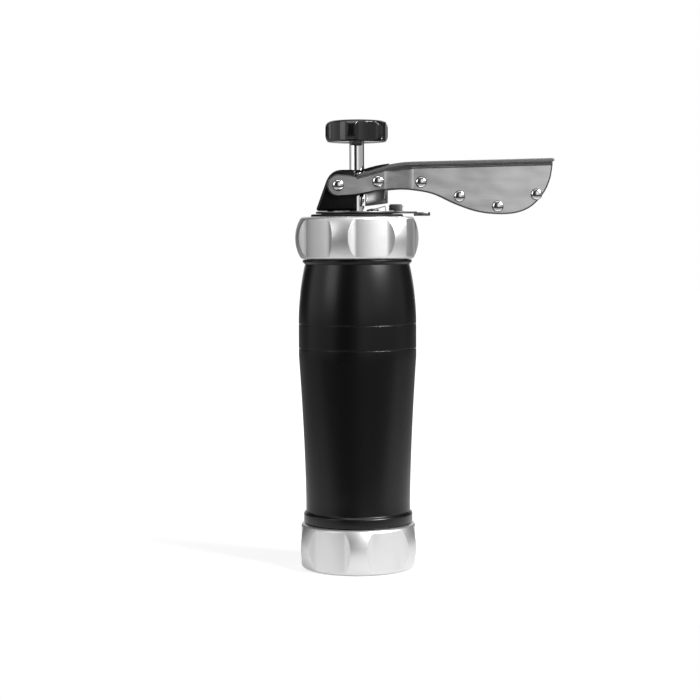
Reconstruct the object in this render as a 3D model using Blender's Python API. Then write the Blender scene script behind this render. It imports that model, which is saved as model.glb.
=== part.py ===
"""Hand-held cookie press with a ratchet lever.

A plain aluminium barrel stands on its lower ring nut, which holds the pattern disc.
The upper ring nut holds the head, whose hood carries a forked two-sheet lever.
Pressing the lever moves a pawl that drives the toothed rod and its piston down.
The origin is on the barrel's axis, at the plane that the lower ring nut stands on.
+X points along the lever, +Z points up.
"""

import math

import bmesh
import bpy
from mathutils import Matrix, Vector

MM = 0.001

# Fits
GAP = 0.3 * MM
OVERRUN = 1.0 * MM
MERGE = 0.001 * MM

# Barrel walls, all measured outwards from the bore
BORE_RADIUS = 22.6 * MM
THREAD_WALL = 2.4 * MM
NECK_WALL = 2.7 * MM
COLLAR_WALL = 3.8 * MM
BELLY_WALL = 5.85 * MM
THREAD_CHAMFER = 0.6 * MM

# Barrel lengths between the two ring nuts, from the bottom up
COLLAR_HEIGHT = 4.2 * MM
COLLAR_SLOPE = 1.1 * MM
LOWER_NECK_LENGTH = 5.5 * MM
SWELL_LENGTH = 70.0 * MM
BELLY_LENGTH = 16.0 * MM
SHOULDER_LENGTH = 28.2 * MM
UPPER_COLLAR_SLOPE = 1.1 * MM
UPPER_COLLAR_HEIGHT = 1.0 * MM
SWELL_POWER = 1.5
SWELL_STEPS = 7
SHOULDER_STEPS = 5

# Ring nuts
LOWER_RING_HEIGHT = 21.9 * MM
UPPER_RING_HEIGHT = 20.4 * MM
RING_EDGE_WALL = 1.6 * MM
RING_BULGE = 3.1 * MM
RING_EDGE_ROUND = 1.1 * MM
RING_BULGE_STEPS = 8
RING_MOUTH_CHAMFER = 0.5 * MM
LOWER_LIP_THICKNESS = 1.2 * MM
UPPER_LIP_THICKNESS = 2.4 * MM
DISC_RIM_OVERLAP = 3.1 * MM
FLUTE_COUNT = 6
FLUTE_RISE = 0.8 * MM
FLUTE_FLOOR_HALF_ANGLE = math.radians(16.5)
FLUTE_WALL_ANGLE = math.radians(7.0)
UPPER_FLUTE_TURN = math.radians(-76.0)
LOWER_FLUTE_TURN = math.radians(-60.0)

# Pattern disc
DISC_RIM_THICKNESS = 1.2 * MM
DISC_THICKNESS = 1.5 * MM
DISC_WALL = 1.2 * MM
PETAL_COUNT = 8
PETAL_INNER_RADIUS = 4.4 * MM
PETAL_OUTER_RADIUS = 12.6 * MM
PETAL_WIDTH = 2.8 * MM
PETAL_STEPS = 5
BEAD_COUNT = 8
BEAD_RADIUS = 1.3 * MM
BEAD_CIRCLE_RADIUS = 16.4 * MM

# Head that closes the barrel
HEAD_FLANGE_THICKNESS = 2.6 * MM
HEAD_RISE = 1.2 * MM
HEAD_LIP_OVERLAP = 2.7 * MM
HEAD_CHAMFER = 0.9 * MM
SPIGOT_HEIGHT = 2.0 * MM
SPIGOT_WALL = 2.0 * MM
SELECTOR_THICKNESS = 1.0 * MM
SELECTOR_BAND = 2.4 * MM
BOSS_RADIUS = 17.2 * MM

# Rod guide bush in the head
BUSH_WALL = 1.7 * MM
BUSH_FLANGE_WIDTH = 1.8 * MM
BUSH_FLANGE_THICKNESS = 1.2 * MM
BUSH_LENGTH = 3.2 * MM

# Hood, a folded sheet bracket
HOOD_SHEET = 1.4 * MM
HOOD_HALF_WIDTH = 6.8 * MM
HOOD_HEIGHT = 19.7 * MM
HOOD_BACK = 19.9 * MM
HOOD_FRONT = 0.3 * MM
HOOD_SHOULDER_RISE = 13.8 * MM
HOOD_SHOULDER_INSET = 5.0 * MM
HOOD_TOP_START = 6.9 * MM
HOOD_ROUND_STEPS = 5
TONGUE_LENGTH = 6.2 * MM
TONGUE_DROP = 0.1 * MM
TONGUE_INSET = 0.7 * MM
FOOT_START = 18.8 * MM
FOOT_END = 9.4 * MM
FOOT_LIFT = 0.1 * MM

# Screws that hold the hood
SCREW_RADIUS = 1.5 * MM
SCREW_HEAD_RADIUS = 2.7 * MM
SCREW_HEAD_HEIGHT = 1.5 * MM
SCREW_HEAD_ROUND = 0.4 * MM
SCREW_X = 12.8 * MM
SCREW_Y = 3.1 * MM

# Lever, two stamped sheets riveted back to back
LEVER_SHEET = 1.5 * MM
LEVER_REACH = 104.1 * MM
LEVER_DEPTH = 26.7 * MM
EAR_RADIUS = 5.4 * MM
EAR_STEPS = 7
FLANGE_HALF_WIDTH = 9.2 * MM
FLANGE_BEND = 1.1 * MM
FLANGE_STEP = 0.1 * MM
FLANGE_BEND_SHARE = 0.6
JOGGLE_START = 25.5 * MM
JOGGLE_END = 33.0 * MM
LEVER_STEPS = 3
FLANGE_START_SHARE = 0.084

# Lower edge and top line of the lever, in shares of its reach and depth, from the pivot
LOWER_EDGE_SHARES = [
    (0.081, -0.180),
    (0.183, -0.109),
    (0.277, -0.075),
    (0.345, -0.090),
    (0.438, -0.161),
    (0.539, -0.341),
    (0.641, -0.479),
    (0.742, -0.528),
    (0.833, -0.498),
    (0.904, -0.367),
    (0.964, -0.101),
    (0.991, 0.150),
    (1.000, 0.352),
]
TOP_LINE_SHARES = [
    (0.084, 0.288),
    (0.183, 0.363),
    (0.309, 0.410),
    (0.469, 0.427),
    (0.700, 0.447),
    (1.000, 0.472),
]

# Lever pivot and rivets
PIVOT_OFFSET = 9.0 * MM
PIVOT_RISE = 12.2 * MM
PIVOT_RADIUS = 2.3 * MM
RIVET_HEAD_RADIUS = 2.75 * MM
RIVET_DOME = 1.4 * MM
RIVET_DOME_STEPS = 3
RIVET_RADIUS = 1.5 * MM

# Handle rivets, in shares of the straight part's length and of the lever's depth
HANDLE_RIVET_SHARES = [
    (0.097, 0.056),
    (0.357, -0.202),
    (0.617, -0.386),
    (0.879, -0.172),
]

# Push pawl, a folded channel on its own rivet
PAWL_REACH = 19.1 * MM
PAWL_RISE = 1.7 * MM
PAWL_RIVET_RADIUS = 2.0 * MM
PAWL_SHEET = 1.2 * MM
PAWL_EYE_RADIUS = 3.4 * MM
PAWL_EYE_STEPS = 6
PAWL_FRONT = 6.15 * MM
PAWL_BACK = 4.7 * MM
PAWL_FACE_START = 4.9 * MM
PAWL_SHOULDER_DROP = 5.0 * MM
PAWL_FRONT_DROP = 11.7 * MM
PAWL_BACK_DROP = 10.3 * MM
PAWL_SLOT_HALF_WIDTH = 2.9 * MM
PAWL_SLOT_DROP = 6.4 * MM
PAWL_BEND_INSET = 1.0 * MM
TOOTH_THICKNESS = 1.4 * MM
TOOTH_TIP_DROP = 7.6 * MM
TOOTH_ROOT_DROP = 4.2 * MM

# Pocket in the head under the pawl
POCKET_START = 0.6 * MM
POCKET_END = 15.3 * MM
POCKET_DEPTH = 2.6 * MM
POCKET_SIDE_GAP = 0.4 * MM

# Holding pawl, a bent leaf, and its rivet
LEAF_THICKNESS = 0.5 * MM
LEAF_HALF_WIDTH = 2.3 * MM
LEAF_FOOT_START = 8.2 * MM
LEAF_KNEE = 14.3 * MM
LEAF_APEX = 13.4 * MM
LEAF_APEX_RISE = 5.2 * MM
LEAF_TIP_RISE = 2.2 * MM
LEAF_RIVET_X = 10.6 * MM
LEAF_RIVET_RADIUS = 0.8 * MM
LEAF_RIVET_HEAD_RADIUS = 1.5 * MM
LEAF_RIVET_HEAD_HEIGHT = 0.5 * MM
LEAF_RIVET_LENGTH = 3.0 * MM

# Dose selector ring with its finger tab and stop
SELECTOR_ARM_HALF_WIDTH = 3.2 * MM
SELECTOR_ARM_END = 29.0 * MM
TAB_END = 35.2 * MM
TAB_HALF_WIDTH = 4.0 * MM
TAB_CORNER = 1.5 * MM
TAB_THICKNESS = 1.7 * MM
TAB_DROP = 1.2 * MM
STOP_START = 15.4 * MM
STOP_END = 22.3 * MM
STOP_RISE = 3.5 * MM
STOP_THICKNESS = 1.2 * MM
STOP_CORNER = 0.7 * MM
STOP_EMBED = 0.6 * MM
KEEPER_ANGLE = math.radians(60.0)
KEEPER_CIRCLE_RADIUS = 15.2 * MM
KEEPER_HEAD_RADIUS = 2.9 * MM
KEEPER_HEAD_HEIGHT = 0.9 * MM
KEEPER_RADIUS = 1.1 * MM
KEEPER_LENGTH = 4.0 * MM

# Rod, rack and knob
ROD_RADIUS = 3.6 * MM
JOURNAL_RADIUS = 2.5 * MM
ROD_CHAMFER = 0.4 * MM
RACK_PITCH = 3.2 * MM
RACK_DEPTH = 1.2 * MM
RACK_SLOPE_LENGTH = 2.3 * MM
RACK_OVERRUN = 0.3 * MM
RACK_START = 17.7 * MM
RACK_END_MARGIN = 16.0 * MM
KNOB_GAP = 13.3 * MM
KNOB_RADIUS = 15.5 * MM
KNOB_HEIGHT = 11.0 * MM
KNOB_UNDERSIDE_RADIUS = 12.9 * MM
KNOB_SIDE_ROUND = 3.6 * MM
KNOB_CROWN = 0.7 * MM
KNOB_BASE_ROUND_HEIGHT = 3.2 * MM
KNOB_ROUND_STEPS = 4
KNOB_SOCKET_DEPTH = 7.0 * MM
KNOB_FLUTE_DEPTH = 1.15 * MM
KNOB_FLUTE_TURN = math.radians(-70.0)

# Piston and its nut
PISTON_GAP = 0.4 * MM
PISTON_HEIGHT = 9.0 * MM
PISTON_WALL = 1.8 * MM
PISTON_FLOOR = 2.5 * MM
PISTON_EDGE = 0.8 * MM
PISTON_STOP_GAP = 0.6 * MM
KNOB_STOP_GAP = 2.9 * MM
RECESS_RADIUS = 6.4 * MM
RECESS_DEPTH = 4.2 * MM
HUB_WALL = 2.2 * MM
HUB_ROOF = 2.6 * MM
NUT_RADIUS = 4.8 * MM
NUT_HEIGHT = 3.0 * MM
NUT_SIDE_COUNT = 6

# Return spring wound around the lever's pivot
SPRING_WIRE_RADIUS = 0.5 * MM
SPRING_RADIUS = 3.45 * MM
SPRING_PITCH = 1.51 * MM
SPRING_TURNS = 4.5
SPRING_STEPS_PER_TURN = 10
SPRING_SIDE_GAP = 0.3 * MM
SPRING_TAIL = 2.2 * MM
SPRING_ARM = 20.6 * MM
SPRING_ARM_RISE = 2.3 * MM

# Facets of the turned pieces
BARREL_SEGMENTS = 48
RING_SEGMENTS = 48
KNOB_SEGMENTS = 40
PISTON_SEGMENTS = 40
HEAD_SEGMENTS = 48
ROD_SEGMENTS = 20
RIVET_SEGMENTS = 14
SMALL_SEGMENTS = 12
SMOOTH_ANGLE = math.radians(32.0)

# Radii that follow from the walls
THREAD_RADIUS = BORE_RADIUS + THREAD_WALL
NECK_RADIUS = BORE_RADIUS + NECK_WALL
COLLAR_RADIUS = BORE_RADIUS + COLLAR_WALL
BELLY_RADIUS = BORE_RADIUS + BELLY_WALL
RING_BORE_RADIUS = THREAD_RADIUS + GAP
RING_EDGE_RADIUS = RING_BORE_RADIUS + RING_EDGE_WALL
RING_RADIUS = RING_EDGE_RADIUS + RING_BULGE
FLUTE_RADIUS = RING_EDGE_RADIUS + FLUTE_RISE
LOWER_OPENING_RADIUS = RING_BORE_RADIUS - DISC_RIM_OVERLAP
UPPER_OPENING_RADIUS = RING_BORE_RADIUS - HEAD_LIP_OVERLAP
HEAD_RADIUS = UPPER_OPENING_RADIUS - GAP
ROD_HOLE_RADIUS = ROD_RADIUS + GAP
SELECTOR_HOLE_RADIUS = BOSS_RADIUS + GAP
SELECTOR_RADIUS = SELECTOR_HOLE_RADIUS + SELECTOR_BAND
PISTON_RADIUS = BORE_RADIUS - PISTON_GAP

# Heights that follow from the stack of pieces
DISC_RIM_BOTTOM = LOWER_LIP_THICKNESS + GAP
DISC_RIM_TOP = DISC_RIM_BOTTOM + DISC_RIM_THICKNESS
BARREL_BOTTOM = DISC_RIM_TOP + GAP
COLLAR_BOTTOM = LOWER_RING_HEIGHT + GAP
COLLAR_TOP = COLLAR_BOTTOM + COLLAR_HEIGHT
NECK_BOTTOM = COLLAR_TOP + COLLAR_SLOPE
SWELL_BOTTOM = NECK_BOTTOM + LOWER_NECK_LENGTH
BELLY_BOTTOM = SWELL_BOTTOM + SWELL_LENGTH
BELLY_TOP = BELLY_BOTTOM + BELLY_LENGTH
NECK_TOP = BELLY_TOP + SHOULDER_LENGTH
UPPER_COLLAR_BOTTOM = NECK_TOP + UPPER_COLLAR_SLOPE
UPPER_COLLAR_TOP = UPPER_COLLAR_BOTTOM + UPPER_COLLAR_HEIGHT
UPPER_RING_BOTTOM = UPPER_COLLAR_TOP + GAP
UPPER_RING_TOP = UPPER_RING_BOTTOM + UPPER_RING_HEIGHT
FLANGE_TOP = UPPER_RING_TOP - UPPER_LIP_THICKNESS - GAP
FLANGE_BOTTOM = FLANGE_TOP - HEAD_FLANGE_THICKNESS
BARREL_TOP = FLANGE_BOTTOM - GAP
HEAD_TOP = UPPER_RING_TOP + HEAD_RISE
SELECTOR_BOTTOM = HEAD_TOP + GAP
SELECTOR_TOP = SELECTOR_BOTTOM + SELECTOR_THICKNESS
BOSS_TOP = SELECTOR_TOP
HOOD_BOTTOM = BOSS_TOP + GAP
HOOD_TOP = HOOD_BOTTOM + HOOD_HEIGHT
PIVOT_HEIGHT = HOOD_BOTTOM + PIVOT_RISE
PAWL_X = PAWL_REACH - PIVOT_OFFSET
PAWL_HEIGHT = PIVOT_HEIGHT + PAWL_RISE
POCKET_FLOOR = BOSS_TOP - POCKET_DEPTH
KNOB_BOTTOM = HOOD_TOP + KNOB_GAP
PISTON_BOTTOM = DISC_RIM_TOP + PISTON_STOP_GAP + KNOB_GAP - KNOB_STOP_GAP
HUB_ROOF_BOTTOM = PISTON_BOTTOM + RECESS_DEPTH
HUB_ROOF_TOP = HUB_ROOF_BOTTOM + HUB_ROOF
ROD_SHOULDER = HUB_ROOF_TOP + GAP
NUT_TOP = HUB_ROOF_BOTTOM - GAP
NUT_BOTTOM = NUT_TOP - NUT_HEIGHT
ROD_BOTTOM = NUT_BOTTOM - GAP
ROD_TOP = KNOB_BOTTOM + KNOB_SOCKET_DEPTH - GAP

# Places across the lever's fork
EAR_INNER = HOOD_HALF_WIDTH + GAP
EAR_OUTER = EAR_INNER + LEVER_SHEET
HALF_GAP = GAP / 2
PAWL_HALF_WIDTH = EAR_INNER - GAP - PAWL_BEND_INSET / 5

# Colour, roughness and metallic value of each finish
BLACK_ANODISED = ((0.012, 0.012, 0.013), 0.32, 0.0)
BLACK_PAINT = ((0.006, 0.006, 0.007), 0.35, 0.0)
BLACK_GLOSS = ((0.010, 0.010, 0.011), 0.12, 0.0)
SATIN_ALUMINIUM = ((0.72, 0.72, 0.72), 0.32, 1.0)
CHROME = ((0.66, 0.66, 0.66), 0.12, 1.0)
BRIGHT_CHROME = ((0.80, 0.80, 0.80), 0.06, 1.0)
DULL_STEEL = ((0.45, 0.45, 0.45), 0.35, 1.0)
DARK_NYLON = ((0.03, 0.03, 0.03), 0.55, 0.0)


def clear_scene():
    for item in list(bpy.data.objects):
        bpy.data.objects.remove(item, do_unlink=True)


def finish_material(name, finish):
    colour, roughness, metallic = finish
    material = bpy.data.materials.new(name + "_finish")
    material.use_nodes = True
    shader = material.node_tree.nodes["Principled BSDF"]
    shader.inputs["Base Color"].default_value = (*colour, 1)
    shader.inputs["Roughness"].default_value = roughness
    shader.inputs["Metallic"].default_value = metallic
    material.diffuse_color = (*colour, 1)
    return material


def axis_empty(name, place):
    """An empty on a joint's axis, which the moving pieces have as their parent."""
    empty = bpy.data.objects.new(name, None)
    empty.location = place
    bpy.context.collection.objects.link(empty)
    return empty


def place_mesh(name, bm, finish=None, parent=None, place=(0, 0, 0), turn=(0, 0, 0)):
    """Turns a bmesh into an object; without a finish it is a cutter or a joining shape."""
    bmesh.ops.remove_doubles(bm, verts=bm.verts, dist=MERGE)
    bmesh.ops.recalc_face_normals(bm, faces=bm.faces)
    mesh = bpy.data.meshes.new(name)
    bm.to_mesh(mesh)
    bm.free()
    item = bpy.data.objects.new(name, mesh)
    item.location = place
    item.rotation_euler = turn
    item.parent = parent
    bpy.context.collection.objects.link(item)
    if finish:
        mesh.materials.append(finish_material(name, finish))
        mesh.shade_smooth()
        mesh.set_sharp_from_angle(angle=SMOOTH_ANGLE)
    else:
        item.hide_render = True
        item.display_type = "WIRE"
    return item


def turned(profile, segments, phase=0):
    """A profile of (radius, height) points, spun about Z. Points on the axis become poles."""
    bm = bmesh.new()
    points = [bm.verts.new((radius, 0, height)) for radius, height in profile]
    on_axis = profile[0][0] == 0 and profile[-1][0] == 0
    pairs = zip(points, points[1:] if on_axis else points[1:] + points[:1])
    edges = [bm.edges.new(pair) for pair in pairs]
    bmesh.ops.spin(
        bm, geom=points + edges, cent=(0, 0, 0), axis=(0, 0, 1), dvec=(0, 0, 0),
        angle=2 * math.pi, steps=segments, use_merge=True, use_duplicate=False,
    )
    if phase:
        bmesh.ops.rotate(bm, cent=(0, 0, 0), matrix=Matrix.Rotation(phase, 3, "Z"), verts=bm.verts)
    return bm


def prism(bm, outline, start, end, along):
    """A flat outline extruded along Y, or along Z, between two places."""
    def corner(a, b, place):
        return (a, place, b) if along == "Y" else (a, b, place)

    first = [bm.verts.new(corner(a, b, start)) for a, b in outline]
    last = [bm.verts.new(corner(a, b, end)) for a, b in outline]
    bm.faces.new(first)
    bm.faces.new(reversed(last))
    count = len(outline)
    for i in range(count):
        after = (i + 1) % count
        bm.faces.new((first[i], last[i], last[after], first[after]))
    return bm


def lofted(sections):
    """Closed sections of (x, y, z) corners, joined in turn and capped at both ends."""
    bm = bmesh.new()
    rings = [[bm.verts.new(corner) for corner in section] for section in sections]
    count = len(rings[0])
    for ring, following in zip(rings, rings[1:]):
        for i in range(count):
            after = (i + 1) % count
            bm.faces.new((ring[i], following[i], following[after], ring[after]))
    bm.faces.new(reversed(rings[0]))
    bm.faces.new(rings[-1])
    return bm


def circle(radius, count, centre=(0, 0), phase=0):
    angles = [phase + 2 * math.pi * i / count for i in range(count)]
    return [(centre[0] + radius * math.cos(a), centre[1] + radius * math.sin(a)) for a in angles]


def arc(radius, start, end, steps, centre=(0, 0)):
    angles = [start + (end - start) * i / steps for i in range(steps + 1)]
    return [(centre[0] + radius * math.cos(a), centre[1] + radius * math.sin(a)) for a in angles]


def rod_cutter(name, radius, start, end, parent=None, place=(0, 0, 0), turn=(0, 0, 0)):
    """A round cutter along Z between two heights."""
    bm = turned([(0, start), (radius, start), (radius, end), (0, end)], SMALL_SEGMENTS * 2)
    return place_mesh(name, bm, None, parent, place, turn)


def apply_shape(item, other, operation):
    step = item.modifiers.new(other.name, "BOOLEAN")
    step.operation = operation
    step.solver = "EXACT"
    step.object = other


def smooth_line(points, steps):
    """A Catmull-Rom line through the points, with the given steps between two of them."""
    line = []
    for i in range(len(points) - 1):
        before = Vector(points[max(i - 1, 0)])
        start, end = Vector(points[i]), Vector(points[i + 1])
        beyond = Vector(points[min(i + 2, len(points) - 1)])
        for step in range(steps):
            t = step / steps
            line.append(
                (
                    2 * start + (end - before) * t
                    + (2 * before - 5 * start + 4 * end - beyond) * t ** 2
                    + (3 * start - before - 3 * end + beyond) * t ** 3
                ) / 2
            )
    line.append(Vector(points[-1]))
    return line


def offset_line(path, distance):
    """The path moved sideways, to the left of its direction."""
    offset = []
    for i, point in enumerate(path):
        into = (point - path[i - 1]).normalized() if i else (path[1] - point).normalized()
        onward = (path[i + 1] - point).normalized() if i < len(path) - 1 else into
        before, after = Vector((-into.y, into.x)), Vector((-onward.y, onward.x))
        bisector = (before + after).normalized()
        offset.append(point + bisector * distance / bisector.dot(after))
    return offset


def strip_outline(path, thickness):
    """A bent strip seen from its edge: the path on one side and its offset on the other."""
    path = [Vector(point) for point in path]
    return [tuple(point) for point in path + offset_line(path, thickness)[::-1]]


def height_on(line, x):
    """Height at x of a line whose points run towards +X."""
    for start, end in zip(line, line[1:]):
        if x <= end.x:
            share = (x - start.x) / (end.x - start.x)
            return start.y + (end.y - start.y) * share
    return line[-1].y


def build_barrel():
    outer = [
        (THREAD_RADIUS - THREAD_CHAMFER, BARREL_BOTTOM),
        (THREAD_RADIUS, BARREL_BOTTOM + THREAD_CHAMFER),
        (THREAD_RADIUS, COLLAR_BOTTOM),
        (COLLAR_RADIUS, COLLAR_BOTTOM),
        (COLLAR_RADIUS, COLLAR_TOP),
        ((COLLAR_RADIUS + NECK_RADIUS) / 2, COLLAR_TOP + COLLAR_SLOPE / 2),
        (NECK_RADIUS, NECK_BOTTOM),
        (NECK_RADIUS, SWELL_BOTTOM),
    ]
    for i in range(1, SWELL_STEPS + 1):
        share = i / SWELL_STEPS
        radius = NECK_RADIUS + (BELLY_RADIUS - NECK_RADIUS) * share ** SWELL_POWER
        outer.append((radius, SWELL_BOTTOM + SWELL_LENGTH * share))
    outer.append((BELLY_RADIUS, BELLY_TOP))
    for i in range(1, SHOULDER_STEPS + 1):
        share = i / SHOULDER_STEPS
        radius = BELLY_RADIUS - (BELLY_RADIUS - NECK_RADIUS) * share ** 2
        outer.append((radius, BELLY_TOP + SHOULDER_LENGTH * share))
    outer += [
        (COLLAR_RADIUS, UPPER_COLLAR_BOTTOM),
        (COLLAR_RADIUS, UPPER_COLLAR_TOP),
        (THREAD_RADIUS, UPPER_COLLAR_TOP),
        (THREAD_RADIUS, BARREL_TOP - THREAD_CHAMFER),
        (THREAD_RADIUS - THREAD_CHAMFER, BARREL_TOP),
    ]
    bore = [(BORE_RADIUS, BARREL_TOP), (BORE_RADIUS, BARREL_BOTTOM)]
    place_mesh("barrel", turned(outer + bore, BARREL_SEGMENTS), BLACK_ANODISED)


def bulged_side(height):
    """Barrel-shaped side of a ring nut, from its bottom edge to its top edge."""
    half = height / 2
    sweep = (half ** 2 + RING_BULGE ** 2) / (2 * RING_BULGE)
    side = [(RING_EDGE_RADIUS - RING_EDGE_ROUND, 0)]
    for i in range(RING_BULGE_STEPS + 1):
        z = RING_EDGE_ROUND / 2 + (height - RING_EDGE_ROUND) * i / RING_BULGE_STEPS
        radius = RING_EDGE_RADIUS + math.sqrt(sweep ** 2 - (z - half) ** 2) - (sweep - RING_BULGE)
        side.append((radius, z))
    side.append((RING_EDGE_RADIUS - RING_EDGE_ROUND, height))
    return side


def flute_cutters(name, radius, outside, bottom, top, turn, place):
    """Six upright cutters that leave a round floor with flared side walls."""
    bm = bmesh.new()
    floor = FLUTE_FLOOR_HALF_ANGLE
    wall = floor + FLUTE_WALL_ANGLE
    for i in range(FLUTE_COUNT):
        middle = turn + 2 * math.pi * i / FLUTE_COUNT
        outline = arc(radius, middle - floor, middle + floor, 4)
        outline += arc(outside, middle + wall, middle - wall, 2)
        prism(bm, outline, bottom, top, "Z")
    return place_mesh(name, bm, place=place)


def build_ring_nuts():
    mouth = RING_BORE_RADIUS + RING_MOUTH_CHAMFER
    lower_bore = [
        (mouth, LOWER_RING_HEIGHT),
        (RING_BORE_RADIUS, LOWER_RING_HEIGHT - RING_MOUTH_CHAMFER),
        (RING_BORE_RADIUS, LOWER_LIP_THICKNESS),
        (LOWER_OPENING_RADIUS, LOWER_LIP_THICKNESS),
        (LOWER_OPENING_RADIUS, 0),
    ]
    lip = UPPER_RING_HEIGHT - UPPER_LIP_THICKNESS
    upper_bore = [
        (UPPER_OPENING_RADIUS, UPPER_RING_HEIGHT),
        (UPPER_OPENING_RADIUS, lip),
        (RING_BORE_RADIUS, lip),
        (RING_BORE_RADIUS, RING_MOUTH_CHAMFER),
        (mouth, 0),
    ]
    rings = [
        ("lower_ring_nut", LOWER_RING_HEIGHT, lower_bore, 0, LOWER_FLUTE_TURN),
        ("upper_ring_nut", UPPER_RING_HEIGHT, upper_bore, UPPER_RING_BOTTOM, UPPER_FLUTE_TURN),
    ]
    for name, height, bore, bottom, turn in rings:
        body = turned(bulged_side(height) + bore, RING_SEGMENTS)
        ring = place_mesh(name, body, SATIN_ALUMINIUM, place=(0, 0, bottom))
        cutter = flute_cutters(
            name + "_flutes", FLUTE_RADIUS, RING_RADIUS + OVERRUN,
            -OVERRUN, height + OVERRUN, turn, (0, 0, bottom),
        )
        apply_shape(ring, cutter, "DIFFERENCE")


def build_pattern_disc():
    centre_radius = LOWER_OPENING_RADIUS - GAP
    rim_radius = RING_BORE_RADIUS - GAP
    profile = [
        (0, GAP),
        (centre_radius, GAP),
        (centre_radius, DISC_RIM_BOTTOM),
        (rim_radius, DISC_RIM_BOTTOM),
        (rim_radius, DISC_RIM_TOP),
        (centre_radius - DISC_WALL, DISC_RIM_TOP),
        (centre_radius - DISC_WALL, GAP + DISC_THICKNESS),
        (0, GAP + DISC_THICKNESS),
    ]
    disc = place_mesh("pattern_disc", turned(profile, RING_SEGMENTS), SATIN_ALUMINIUM)
    bm = bmesh.new()
    bottom, top = GAP - OVERRUN, DISC_RIM_TOP + OVERRUN
    length = PETAL_OUTER_RADIUS - PETAL_INNER_RADIUS
    for i in range(PETAL_COUNT):
        angle = 2 * math.pi * i / PETAL_COUNT
        along, across = Vector((math.cos(angle), math.sin(angle))), Vector((-math.sin(angle), math.cos(angle)))
        edge = [(step / PETAL_STEPS, math.sin(math.pi * (step / PETAL_STEPS) ** 1.4)) for step in
                range(PETAL_STEPS + 1)]
        one_side = [along * (PETAL_INNER_RADIUS + length * t) + across * PETAL_WIDTH / 2 * w for t, w in edge]
        other = [along * (PETAL_INNER_RADIUS + length * t) - across * PETAL_WIDTH / 2 * w for t, w in edge]
        outline = one_side + other[-2:0:-1]
        prism(bm, [tuple(point) for point in outline], bottom, top, "Z")
    for i in range(BEAD_COUNT):
        angle = 2 * math.pi * (i + 0.5) / BEAD_COUNT
        centre = (BEAD_CIRCLE_RADIUS * math.cos(angle), BEAD_CIRCLE_RADIUS * math.sin(angle))
        prism(bm, circle(BEAD_RADIUS, SMALL_SEGMENTS, centre), bottom, top, "Z")
    apply_shape(disc, place_mesh("disc_pattern", bm), "DIFFERENCE")


def build_head_plate():
    bush_hole = ROD_HOLE_RADIUS + BUSH_WALL + GAP
    bush_roof = FLANGE_BOTTOM + BUSH_LENGTH + GAP
    spigot = BORE_RADIUS - GAP
    profile = [
        (ROD_HOLE_RADIUS + GAP, BOSS_TOP),
        (BOSS_RADIUS, BOSS_TOP),
        (BOSS_RADIUS, HEAD_TOP),
        (HEAD_RADIUS - HEAD_CHAMFER, HEAD_TOP),
        (HEAD_RADIUS, HEAD_TOP - HEAD_CHAMFER),
        (HEAD_RADIUS, FLANGE_TOP),
        (THREAD_RADIUS, FLANGE_TOP),
        (THREAD_RADIUS, FLANGE_BOTTOM),
        (spigot, FLANGE_BOTTOM),
        (spigot, FLANGE_BOTTOM - SPIGOT_HEIGHT),
        (spigot - SPIGOT_WALL, FLANGE_BOTTOM - SPIGOT_HEIGHT),
        (spigot - SPIGOT_WALL, FLANGE_BOTTOM),
        (bush_hole, FLANGE_BOTTOM),
        (bush_hole, bush_roof),
        (ROD_HOLE_RADIUS + GAP, bush_roof),
    ]
    head = place_mesh("head_plate", turned(profile, HEAD_SEGMENTS), BLACK_PAINT)
    bm = bmesh.new()
    side = PAWL_HALF_WIDTH + POCKET_SIDE_GAP
    outline = [(POCKET_START, -side), (POCKET_END, -side), (POCKET_END, side), (POCKET_START, side)]
    prism(bm, outline, POCKET_FLOOR, BOSS_TOP + OVERRUN, "Z")
    apply_shape(head, place_mesh("pawl_pocket", bm), "DIFFERENCE")
    for y in (-SCREW_Y, SCREW_Y):
        cutter = rod_cutter("head_screw_hole", SCREW_RADIUS + GAP, FLANGE_BOTTOM - OVERRUN,
                            BOSS_TOP + OVERRUN, place=(-SCREW_X, y, 0))
        apply_shape(head, cutter, "DIFFERENCE")
    for side in (-1, 1):
        place = keeper_place(side)
        cutter = rod_cutter("keeper_hole", KEEPER_RADIUS + GAP, BOSS_TOP - KEEPER_LENGTH - GAP,
                            BOSS_TOP + OVERRUN, place=(place[0], place[1], 0))
        apply_shape(head, cutter, "DIFFERENCE")
    cutter = rod_cutter("leaf_rivet_hole", LEAF_RIVET_RADIUS + GAP, POCKET_FLOOR - LEAF_RIVET_LENGTH - GAP,
                        POCKET_FLOOR + OVERRUN, place=(LEAF_RIVET_X, 0, 0))
    apply_shape(head, cutter, "DIFFERENCE")


def keeper_place(side):
    """Centre of a keeper rivet on the boss, on the near (-1) or the far (1) side."""
    return (
        KEEPER_CIRCLE_RADIUS * math.cos(KEEPER_ANGLE),
        side * KEEPER_CIRCLE_RADIUS * math.sin(KEEPER_ANGLE),
    )


def build_bush():
    inner = ROD_HOLE_RADIUS
    outer = inner + BUSH_WALL
    flange = outer + GAP + BUSH_FLANGE_WIDTH
    low = FLANGE_BOTTOM - GAP
    profile = [
        (inner, low - BUSH_FLANGE_THICKNESS),
        (flange, low - BUSH_FLANGE_THICKNESS),
        (flange, low),
        (outer, low),
        (outer, FLANGE_BOTTOM + BUSH_LENGTH),
        (inner, FLANGE_BOTTOM + BUSH_LENGTH),
    ]
    place_mesh("rod_guide_bush", turned(profile, SMALL_SEGMENTS * 2), DARK_NYLON)


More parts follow.
